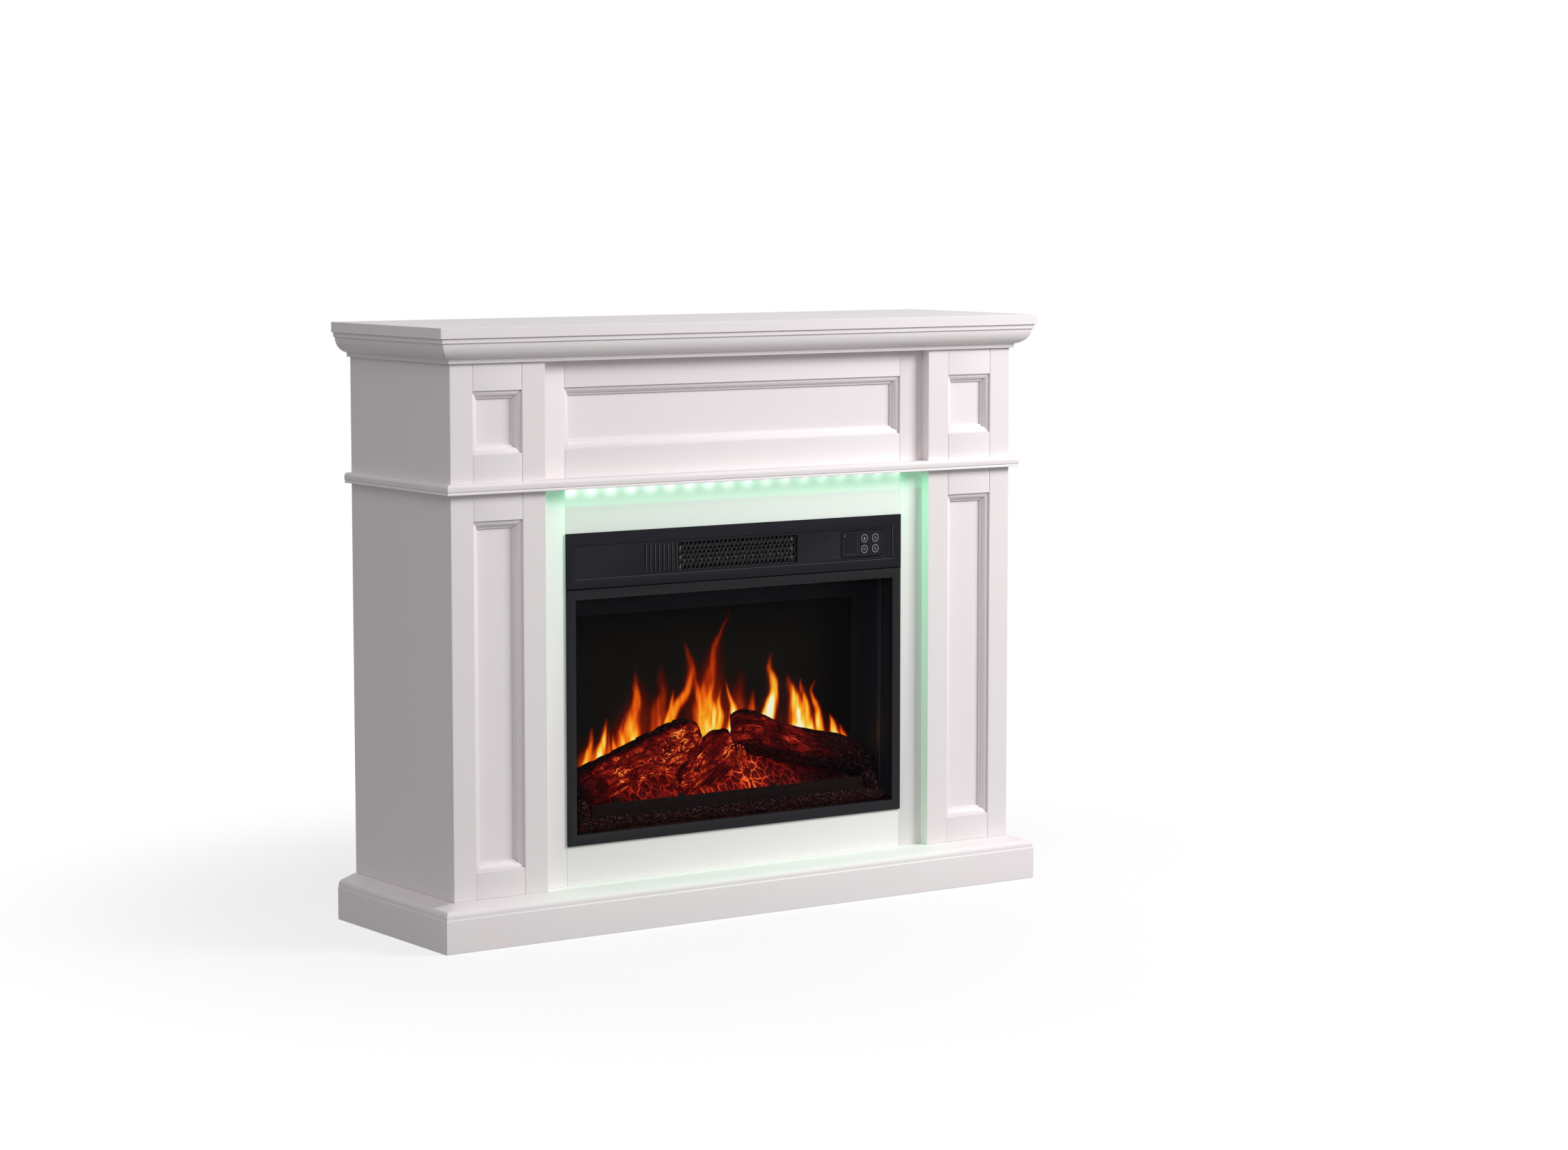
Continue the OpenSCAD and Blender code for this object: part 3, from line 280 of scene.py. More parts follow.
@dataclass(frozen=True)
class StripGlow:
    """The light that the strip under the belt throws on the paint around it.

    Faces that look along the belt or up at it get the light of a line of small lamps, worked
    out for each point. The board behind the strip gets a spot from each lamp and a band under
    them, and all that lies between the legs gets a little light back from the paint around.
    A length named reach is how far a light goes before it fades.
    """

    colour: Colour = (0.055, 0.52, 0.22)
    core: Colour = (0.62, 0.84, 0.70)
    lamps_y: float = -0.117
    lamps_z: float = 0.6290
    lamps_half: float = 0.283
    pitch: float = 0.03329
    least_drop: float = 0.5 * MM
    least_reach: float = 2.0 * MM
    end_on: float = 0.52
    top_on: float = 0.20
    legs: float = 0.3336
    plinth: float = 0.066
    plinth_in: float = 20.0 * MM
    plinth_out: float = 100.0 * MM
    board: float = -0.1125
    board_soft: float = 0.6 * MM
    board_end: float = 9.0 * MM
    behind: float = -0.1100
    soft: float = 0.4 * MM
    spot_low: float = 5.0 * MM
    spot_reach: float = 6.6 * MM
    spot_middle: float = 0.38
    spot_lean: float = 0.9
    haze: float = 0.54
    haze_reach: float = 13.5 * MM
    haze_lean: float = 0.7
    band: float = 0.76
    band_low: float = 27.5 * MM
    band_high: float = 21.5 * MM
    bounce: float = 0.32
    bounce_reach: float = 100.0 * MM
    bounce_floor: float = 0.085
    bounce_off: float = 0.15

    def light(self, web: Web) -> tuple[Value, Value]:
        """Return the strength of the even light and of the spots, each from 0 to 1."""
        x, y, z = web.split(web.place())
        nx, ny, nz = web.split(web.value("NewGeometry", out="Normal"))
        drop = (self.lamps_z - z).above(self.least_drop)
        line = self.line(x, self.lamps_y - y, drop, nx, nz)
        half_soft = self.soft / 2
        on_board = y.step(self.board - self.board_soft, self.board + self.board_soft) * (-ny).above(0.0)
        end = self.lamps_half + self.board_end
        within = abs(x).step(end + self.soft, end - self.soft)
        band = drop.step(self.band_low, self.band_high) * self.band * on_board * (0.5 + 0.5 * within)
        on_board = on_board * within
        back = (drop * (-1.0 / self.bounce_reach)).exp() * self.bounce + self.bounce_floor
        back = back * (self.bounce_off + (1.0 - self.bounce_off) * on_board)
        under = z.step(self.lamps_z + self.soft, self.lamps_z - self.soft)
        under = under * y.step(self.behind, self.behind - MM)
        low = z.step(self.plinth + self.soft, self.plinth - self.soft)
        inside = abs(x).step(self.legs + half_soft, self.legs - half_soft)
        spread = abs(x).step(self.legs + self.plinth_out, self.legs - self.plinth_in)
        seen = (inside + low * spread).clamp() * under
        even = (1.0 - (-(line + back + band)).exp()) * seen
        wave = 0.5 - 0.5 * (x * (2.0 * math.pi / self.pitch)).math("COSINE")
        fade = self.bell(drop - self.spot_low, self.spot_reach)
        haze = self.bell(drop, self.haze_reach) * self.haze
        spots = wave * fade * (self.spot_middle - x * self.spot_lean) + haze * (1.0 - x * self.haze_lean)
        return even, (spots * on_board * under).clamp()

    def line(self, x: Value, ahead: Value, drop: Value, nx: Value, nz: Value) -> Value:
        """Return the light of the whole line of lamps on a face.

        Args:
            x: The place of the face along the line.
            ahead: How far it is behind the line.
            drop: How far it is below the line.
            nx: The part of its normal along the line.
            nz: The part of its normal that points up.

        Returns:
            The light.
        """
        reach = drop * drop + ahead * ahead + self.least_reach ** 2
        radius = reach ** 0.5
        ends = (-self.lamps_half - x, self.lamps_half - x)
        near, far = (self.span(end, reach, radius) for end in ends)
        left, right = (-0.5 / (end * end + reach) for end in ends)
        facing = nz * drop * (far - near) * self.top_on + nx * (right - left) * self.end_on
        return drop * facing.above(0.0)

    @staticmethod
    def span(end: Value, reach: Value, radius: Value) -> Value:
        """Return the integral along the strip up to one end."""
        turn = (end / radius).math("ARCTANGENT")
        return end / (2.0 * reach * (end * end + reach)) + turn / (2.0 * reach * radius)

    @staticmethod
    def bell(distance: Value, reach: float) -> Value:
        """Return a bell that is 1 at no distance and fades over the reach."""
        return (distance * distance * (-1.0 / reach ** 2)).exp()


@dataclass(frozen=True)
class SatinPaint(Finish):
    """Smooth satin paint on fibreboard: a fine peel and faint clouding."""

    colour: Colour = (0.90, 0.842, 0.852)
    glow: StripGlow | None = None
    clouding: float = 7.0
    wiping: float = 38.0
    peel: float = 850.0
    peel_depth: float = 0.03 * MM
    sheen: float = 0.15

    def paint(self, web: Web) -> None:
        """Build the nodes of the surface."""
        spot = web.place()
        clouds = web.noise(spot, self.clouding, 3.0)
        values = {
            "Base Color": web.blend(clouds, scaled(self.colour, 0.97), self.colour),
            "Roughness": 0.42 + 0.12 * web.noise(spot, self.wiping),
            "Specular IOR Level": self.sheen,
            "Normal": web.bump(web.noise(spot, self.peel), self.peel_depth),
        }
        if self.glow is not None:
            even, spots = self.glow.light(web)
            tint = web.blend(even, BLACK, self.glow.colour)
            values["Emission Color"] = web.blend(spots, tint, self.glow.core)
            values["Emission Strength"] = 1.0
        web.surface(values)


@dataclass(frozen=True)
class BareBoard(Finish):
    """Sanded particle board: pressed chips of several shades."""

    shades: tuple[tuple[float, Colour], ...] = (
        (0.0, (0.40, 0.27, 0.15)), (0.45, (0.62, 0.47, 0.30)), (1.0, (0.78, 0.66, 0.47)))
    chips: float = 320.0
    flatness: float = 2.2
    dusting: float = 60.0
    depth: float = 0.08 * MM

    def paint(self, web: Web) -> None:
        """Build the nodes of the surface."""
        chip = web.split(web.cells(web.place((1.0, 1.0, self.flatness)), self.chips, out="Color"))[0]
        dust = web.noise(web.place(), self.dusting, 4.0, 0.6)
        web.surface({
            "Base Color": web.ramp(chip * 0.75 + dust * 0.25, *self.shades),
            "Roughness": 0.72 + 0.15 * dust,
            "Specular IOR Level": 0.2,
            "Normal": web.bump(chip + dust, self.depth),
        })


@dataclass(frozen=True)
class PowderCoat(Finish):
    """Black powder coat: a fine even texture with a low sheen."""

    colour: Colour = (0.0130, 0.0126, 0.0165)
    roughness: float = 0.50
    sheen: float = 0.07
    grain: float = 1500.0
    patches: float = 11.0
    depth: float = 0.06 * MM

    def paint(self, web: Web) -> None:
        """Build the nodes of the surface."""
        spot = web.place()
        grain = web.noise(spot, self.grain, 3.0, 0.6)
        patches = web.noise(spot, self.patches)
        web.surface({
            "Base Color": web.blend(grain * 0.7 + patches * 0.3, self.colour, scaled(self.colour, 1.35)),
            "Roughness": self.roughness + 0.14 * patches,
            "Specular IOR Level": self.sheen,
            "Normal": web.bump(grain, self.depth),
        })


@dataclass(frozen=True)
class Metal(Finish):
    """Bare or plated metal, brushed along X, with a spangle where it is galvanised."""

    colour: Colour = (0.70, 0.70, 0.70)
    roughness: float = 0.32
    spangle: float = 0.0
    brushing: Point = (6.0, 500.0, 500.0)
    flakes: float = 130.0
    depth: float = 0.02 * MM

    def paint(self, web: Web) -> None:
        """Build the nodes of the surface."""
        streaks = web.noise(web.place(self.brushing), 1.0, 3.0)
        flakes = web.split(web.cells(web.place(), self.flakes, out="Color"))[0]
        tone = (streaks * (1.0 - self.spangle) + flakes * self.spangle).clamp()
        web.surface({
            "Base Color": web.blend(tone, scaled(self.colour, 0.72), self.colour),
            "Metallic": 1.0,
            "Roughness": self.roughness + 0.16 * tone,
            "Normal": web.bump(streaks, self.depth),
        })


@dataclass(frozen=True)
class HeaterFins(Finish):
    """Dull oxidised fins, with a painted highlight: a bright, more metallic and smoother row at one height in
    place of the glints of the fins.
    """

    row: float = 0.5185
    half: float = 1.6 * MM
    dull: Colour = (0.030, 0.028, 0.026)
    bright: Colour = (0.86, 0.84, 0.80)
    oxide: float = 240.0
    depth: float = 0.05 * MM

    def paint(self, web: Web) -> None:
        """Build the nodes of the surface."""
        spot = web.place()
        oxide = web.noise(spot, self.oxide, 3.0)
        # Painted highlight: a pale band at one height that stands in for glints off the fins.
        glint_row = abs(web.split(spot)[2] - self.row).step(self.half * 1.3, self.half * 0.8)
        web.surface({
            "Base Color": web.blend(glint_row, web.blend(oxide, scaled(self.dull, 0.6), self.dull), self.bright),
            "Metallic": 0.3 + 0.6 * glint_row,
            "Roughness": 0.42 - 0.14 * glint_row,
            "Normal": web.bump(oxide, self.depth),
        })


@dataclass(frozen=True)
class Plastic(Finish):
    """Moulded plastic with a fine spark-eroded grain."""

    colour: Colour = (0.013, 0.013, 0.016)
    roughness: float = 0.42
    depth: float = 0.03 * MM
    sheen: float = 0.3
    grain: float = 2200.0
    flow: float = 30.0

    def paint(self, web: Web) -> None:
        """Build the nodes of the surface."""
        spot = web.place()
        flow = web.noise(spot, self.flow, 3.0)
        pale = tuple(min(part * 1.3 + 0.002, 1.0) for part in self.colour)
        web.surface({
            "Base Color": web.blend(flow, self.colour, pale),
            "Specular IOR Level": self.sheen,
            "Roughness": self.roughness + 0.1 * flow,
            "Normal": web.bump(web.noise(spot, self.grain), self.depth),
        })


@dataclass(frozen=True)
class CircuitBoard(Finish):
    """Green lacquered board with paler tracks and tinned pads."""

    lacquer: Colour = (0.010, 0.075, 0.030)
    track: Colour = (0.020, 0.150, 0.060)
    tin: Colour = (0.62, 0.62, 0.58)
    tracks: float = 190.0
    pads: float = 260.0
    turn: float = 0.785
    depth: float = 0.05 * MM

    def paint(self, web: Web) -> None:
        """Build the nodes of the surface."""
        turned = web.place(turn=(0.0, 0.0, self.turn))
        tracks = web.cells(turned, self.tracks, Cells.EDGE).step(0.09, 0.05)
        pads = web.cells(web.place(), self.pads).step(0.22, 0.16)
        web.surface({
            "Base Color": web.blend(pads, web.blend(tracks, self.lacquer, self.track), self.tin),
            "Metallic": pads * 0.9,
            "Roughness": 0.38 + 0.1 * tracks,
            "Normal": web.bump(tracks + pads, self.depth),
        })


@dataclass(frozen=True)
class ClearGlass(Finish):
    """A thin clear pane, a little smoky, that keeps its reflections."""

    tint: Colour = (0.010, 0.010, 0.014)
    smeared: Colour = (0.020, 0.020, 0.026)
    smears: float = 14.0

    def paint(self, web: Web) -> None:
        """Build the nodes of the surface."""
        smear = web.noise(web.place(), self.smears, 3.0)
        web.surface({
            "Base Color": web.blend(smear, self.tint, self.smeared),
            "Alpha": 0.05 + 0.02 * smear,
            "Roughness": 0.03 + 0.03 * smear,
            "Specular IOR Level": 0.06,
        })


@dataclass(frozen=True)
class LightChips(Finish):
    """A white strip whose chips shine below a height, where sign is -1, or above it."""

    glow: Colour = (0.60, 1.0, 0.74)
    level: float = 0.6295
    sign: float = -1.0
    strength: float = 1.4
    low: Colour = (0.75, 0.78, 0.76)
    high: Colour = (0.85, 0.88, 0.86)
    clouding: float = 300.0
    soft: float = 0.3 * MM

    def paint(self, web: Web) -> None:
        """Build the nodes of the surface."""
        spot = web.place()
        lit = ((web.split(spot)[2] - self.level) * self.sign).step(0.0, self.soft)
        tint = web.noise(spot, self.clouding)
        shine = web.blend(tint, scaled(self.glow, 0.85), self.glow)
        web.surface({
            "Base Color": web.blend(tint, self.low, self.high),
            "Roughness": 0.4,
            "Emission Color": web.blend(lit, BLACK, shine),
            "Emission Strength": self.strength,
        })


@dataclass(frozen=True)
class SmokedScreen(Finish):
    """The smoked screen behind the logs: nearly black, with a faint cloudy diffusion."""

    dark: Colour = (0.0050, 0.0042, 0.0028)
    pale: Colour = (0.0080, 0.0066, 0.0044)
    clouding: float = 16.0
    grain: float = 900.0
    depth: float = 0.03 * MM

    def paint(self, web: Web) -> None:
        """Build the nodes of the surface."""
        spot = web.place()
        clouds = web.noise(spot, self.clouding, 4.0)
        web.surface({
            "Base Color": web.blend(clouds, self.dark, self.pale),
            "Roughness": 0.45 + 0.1 * clouds,
            "Specular IOR Level": 0.02,
            "Normal": web.bump(web.noise(spot, self.grain), self.depth),
        })


EMBER_STOPS: tuple[tuple[float, Colour], ...] = (
    (0.0, BLACK), (0.10, (0.016, 0.0003, 0.0002)), (0.22, (0.062, 0.0012, 0.0009)),
    (0.42, (0.190, 0.0062, 0.0036)), (0.62, (0.42, 0.020, 0.0075)), (0.82, (0.86, 0.105, 0.014)),
    (1.0, (1.0, 0.30, 0.040)))


def ember_values(glow: Value, fine: Value) -> dict:
    """Return the values that glowing resin shares: its light, its roughness and its low sheen."""
    return {
        "Roughness": 0.40 + 0.22 * fine,
        "Specular IOR Level": 0.008,
        "Emission Color": glow.web.ramp(glow.clamp(), *EMBER_STOPS),
    }


@dataclass(frozen=True)
class Resin(Finish):
    """Cast resin lit from inside: dark bark with veins and pits that glow.

    It reads the piece's own "bark" attribute: how deep in a crack, how hot, and the tone.
    """

    crust: Colour = (0.0030, 0.0006, 0.0006)
    flesh: Colour = (0.030, 0.0010, 0.0008)
    tilt: float = 0.0
    cell: float = 6.0 * MM
    stretch: float = 1.9
    vein: float = 0.68
    ash_and_glints: float = 0.47
    depth: float = 1.1 * MM
    glint: Colour = (0.120, 0.060, 0.058)
    strength: float = 1.0
    patches: float = 30.0
    specks: float = 300.0

    def paint(self, web: Web) -> None:
        """Build the nodes of the surface."""
        turned = web.place(turn=(0.0, self.tilt, 0.0))
        spot = web.stretch(turned, (1.0 / self.stretch, 1.0, 1.0))
        crack, heat, tone = web.kept("bark")
        bent = web.warp(spot, 0.45 / self.cell, self.cell * 1.2)
        wide = web.noise(bent, 0.80 / self.cell, 1.0) - 0.5
        tight = web.noise(bent, 1.9 / self.cell, 1.0) - 0.5
        lines = (self.contour(wide, 0.014, 0.042) * 0.90 + self.contour(tight, 0.012, 0.038) * 0.75).clamp()
        troughs = (self.contour(wide, -0.050, 0.040) + self.contour(tight, -0.045, 0.032) * 0.8).clamp()
        fine = web.noise(bent, 2.6 / self.cell, 3.0, 0.6)
        patch = web.noise(turned, self.patches).step(0.34, 0.62)
        specks = web.noise(turned, self.specks, 2.0, 0.7).step(0.64, 0.72)
        veins = self.vein * lines * (0.45 + 0.55 * patch)
        glow = heat * (0.50 + 0.50 * patch) * (0.42 + 0.24 * tone + 0.66 * (fine - 0.5) + veins)
        glow = glow * (1.0 - 0.80 * troughs * (1.0 - lines)) * (1.0 - crack).clamp()
        bark = web.blend((tone * 0.5 + fine * 0.5) * heat, self.crust, self.flesh)
        # Pale flecks and specks in the base colour: partly ash on the cold bark, partly painted glints.
        flakes = self.contour(tight, 0.0, 0.040) * fine.step(self.ash_and_glints, self.ash_and_glints + 0.14)
        cold = (1.0 - heat * 1.6).clamp()
        ash_and_glints = (specks * (0.25 + 0.6 * cold) + flakes * cold).clamp()
        web.surface(ember_values(glow, fine) | {
            "Base Color": web.blend(ash_and_glints * 0.8, bark, self.glint),
            "Normal": web.bump(fine * 0.7 + lines * 0.4 - troughs * 0.8, self.depth),
            "Emission Strength": self.strength,
        })

    @staticmethod
    def contour(wave: Value, level: float, half: float) -> Value:
        """Return a thin soft line where a wave crosses a level."""
        return abs(wave - level).step(half, half * 0.25)


@dataclass(frozen=True)
class Coals(Finish):
    """The bank of lumps: dark crusts, each in a ring of glowing cracks.

    It reads the piece's own "bark" attribute: how far the nearest crack is, the heat, the tone.
    """

    crust: Colour = (0.0040, 0.0010, 0.0011)
    glint: Colour = (0.085, 0.058, 0.066)
    grain: float = 420.0
    patches: float = 34.0
    specks: float = 300.0
    depth: float = 1.0 * MM

    def paint(self, web: Web) -> None:
        """Build the nodes of the surface."""
        edge, heat, tone = web.kept("bark")
        spot = web.place()
        fine = web.noise(spot, self.grain, 3.0, 0.6)
        patch = web.noise(spot, self.patches).step(0.36, 0.60)
        edge = edge + (fine - 0.5) * 0.07
        crack = edge.step(0.100, 0.026)
        halo = edge.step(0.30, 0.06)
        ring = abs(edge - 0.25).step(0.060, 0.015)
        glow = heat * (0.12 + 0.18 * tone + 0.16 * halo + 0.55 * (fine - 0.5)
                       + crack * (0.20 + 0.34 * patch) + ring * (0.04 + 0.16 * patch))
        # Painted glints: pale specks in the base colour on the crusts.
        specks = web.noise(spot, self.specks, 2.0, 0.7).step(0.62, 0.70) * (1.0 - crack)
        web.surface(ember_values(glow, fine) | {
            "Base Color": web.blend(specks * 0.8, self.crust, self.glint),
            "Normal": web.bump(fine, self.depth),
            "Emission Strength": 1.0,
        })


@dataclass(frozen=True)
class Fire(Finish):
    """The light of the flames, from the piece's own "fire" attribute: how hot and how dense."""

    stops: tuple[tuple[float, Colour], ...] = (
        (0.0, (0.030, 0.001, 0.0005)), (0.15, (0.13, 0.005, 0.001)), (0.30, (0.42, 0.028, 0.002)),
        (0.45, (0.88, 0.120, 0.004)), (0.60, (1.0, 0.32, 0.010)), (0.76, (1.0, 0.60, 0.045)),
        (0.90, (1.0, 0.86, 0.26)), (1.0, (1.0, 0.98, 0.74)))
    streaking: Point = (300.0, 1.0, 42.0)

    def paint(self, web: Web) -> None:
        """Build the nodes of the surface."""
        hot, dense, _ = web.kept("fire")
        streaks = web.noise(web.place(self.streaking), 1.0, 3.0, 0.55)
        web.surface({
            "Base Color": (0.02, 0.004, 0.0),
            "Roughness": 0.8,
            "Specular IOR Level": 0.0,
            "Alpha": (dense * (0.90 + 0.2 * streaks)).clamp(),
            "Emission Color": web.ramp((hot * (0.94 + 0.12 * streaks)).clamp(), *self.stops),
            "Emission Strength": 1.0,
        })


SATIN_WHITE = SatinPaint("satin_white", "white_paint")
BLACK_COAT = PowderCoat("black_coat", "black_powder_coat")
GRATE_BLACK = PowderCoat("grate_black", "grate_iron", (0.0130, 0.0076, 0.0068), 0.55, 0.0)
CONTROL_CASE = Plastic("control_case", "control_plastic", (0.0125, 0.0120, 0.0155), 0.42, sheen=0.07)
BUTTON_CAP = Plastic("button_cap", "button_plastic", (0.0050, 0.0050, 0.0065), 0.34, sheen=0.08)
DISPLAY_GLOSS = Plastic("display_gloss", "display_lens", (0.0095, 0.0092, 0.0120), 0.16, 0.0, 0.09)
LEFT_BARK = Resin("log_left", "log_resin")


# ---------------------------------------------------------------- shapes


class Shape:
    """A mesh in the making, which ends as one piece of the scene."""

    weld: float = 0.01 * MM
    flat_within: float = 0.5
    bevel_above: float = 35.0

    def __init__(self) -> None:
        """Start with an empty mesh."""
        self.mesh = bmesh.new()

    def copy(self, node: str) -> "Shape":
        """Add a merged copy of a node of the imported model, with its flat faces joined."""
        self.mesh.from_mesh(frame["nodes"][node].data)
        bmesh.ops.remove_doubles(self.mesh, verts=self.mesh.verts, dist=self.weld)
        bmesh.ops.dissolve_limit(self.mesh, angle_limit=math.radians(self.flat_within),
                                 verts=self.mesh.verts, edges=self.mesh.edges)
        return self.outward()

    def box(self, low: Sequence[float], high: Sequence[float]) -> "Shape":
        """Add a box between two corners."""
        low, high = Vector(low), Vector(high)
        size = Matrix.Diagonal((*(high - low), 1.0))
        bmesh.ops.create_cube(self.mesh, size=1.0, matrix=Matrix.Translation((low + high) / 2) @ size)
        return self

    def bevel(self, width: float, segments: int = 2) -> "Shape":
        """Round the edges that turn sharply."""
        limit = math.radians(self.bevel_above)
        sharp = [edge for edge in self.mesh.edges
                 if len(edge.link_faces) == 2 and edge.calc_face_angle(0.0) > limit]
        bmesh.ops.bevel(self.mesh, geom=sharp, offset=width, affect="EDGES", segments=segments,
                        profile=0.5, material=-1, clamp_overlap=True)
        return self

    def forward(self, faces: list[bmesh.types.BMFace], depth: float) -> "Shape":
        """Give flat faces a thickness towards the front."""
        made = bmesh.ops.extrude_face_region(self.mesh, geom=faces)["geom"]
        moved = [item for item in made if isinstance(item, bmesh.types.BMVert)]
        bmesh.ops.translate(self.mesh, verts=moved, vec=(0.0, -depth, 0.0))
        return self.outward()

    def outward(self) -> "Shape":
        """Turn every face outwards."""
        bmesh.ops.recalc_face_normals(self.mesh, faces=self.mesh.faces)
        return self

    def layer(self, name: str) -> Any:
        """Return a new attribute that keeps three numbers at each point."""
        return self.mesh.verts.layers.float_vector.new(name)

    def piece(self, name: str, body: str, finish: Finish, nodes: Iterable[str] = (),
              crease: float = 25.0) -> bpy.types.Object:
        """Turn the mesh into a piece of the scene.

        Args:
            name: The piece's name.
            body: The body that it rides on.
            finish: Its surface.
            nodes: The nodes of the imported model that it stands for.
            crease: The angle in degrees above which an edge is shaded sharp.

        Returns:
            The new object.
        """
        data = bpy.data.meshes.new(name)
        for face in self.mesh.faces:
            face.smooth = True
        self.mesh.to_mesh(data)
        self.mesh.free()
        data.set_sharp_from_angle(angle=math.radians(crease))
        made = bpy.data.objects.new(name, data)
        bpy.context.scene.collection.objects.link(made)
        data.materials.append(finish.material())
        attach(made, body)
        if nodes:
            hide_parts(*nodes)
        log.info("%s: %d faces, rides on %s", name, len(data.polygons), body)
        return made


def rounded(node: str, finish: Finish, edge: float, body: str = CABINET) -> bpy.types.Object:
    """Replace a node by a copy of it with softened edges.

    Args:
        node: The node's name.
        finish: The surface of the copy.
        edge: The radius of its edges.
        body: The body that it rides on.

    Returns:
        The new piece.
    """
    return Shape().copy(node).bevel(edge).piece(node + "_piece", body, finish, [node])


@dataclass(frozen=True)
class Spline:
    """A smooth line through points, with any number of values at each."""

    knots: tuple[tuple[float, ...], ...]

    def at(self, share: float) -> list[float]:
        """Return the values at a share of the line, from 0 to 1."""
        last = len(self.knots) - 1
        place = min(max(share, 0.0), 1.0) * last
        index = min(int(place), last - 1)
        t = place - index
        before, here, there, after = (self.knots[min(max(index + step, 0), last)] for step in (-1, 0, 1, 2))
        return [0.5 * (2 * b + (c - a) * t + (2 * a - 5 * b + 4 * c - d) * t * t
                       + (3 * b - a - 3 * c + d) * t * t * t)
                for a, b, c, d in zip(before, here, there, after)]


def smooth_step(value: float, low: float, high: float) -> float:
    """Return a smooth step from 0 at low to 1 at high."""
    share = min(max((value - low) / (high - low), 0.0), 1.0)
    return share * share * (3.0 - 2.0 * share)


# ---------------------------------------------------------------- the mantel


@dataclass
class Mantel:
    """The white cabinet: its legs, frieze, mouldings, boards and open back."""

    edge: float = 0.7 * MM
    lit: SatinPaint = SatinPaint("satin_white_lit", "white_paint", glow=StripGlow())

    plain_nodes: tuple[str, ...] = (
        "top_board", "crown_moulding", "belt_moulding", "frieze_rails", "frieze_panel", "frieze_bead",
        "left_side_panel", "right_side_panel", "left_leg_rails", "right_leg_rails", "left_leg_panels",
        "right_leg_panels", "left_leg_beads", "right_leg_beads")
    lit_nodes: tuple[str, ...] = (
        "plinth_moulding", "plinth_deck", "left_leg_stiles", "right_leg_stiles", "centre_stiles",
        "header_board", "apron_board")

    def build(self) -> None:
        """Replace the painted boards by copies with softened edges."""
        for node in self.plain_nodes:
            rounded(node, SATIN_WHITE, self.edge)
        for node in self.lit_nodes:
            rounded(node, self.lit, self.edge)


# ---------------------------------------------------------------- the insert's front


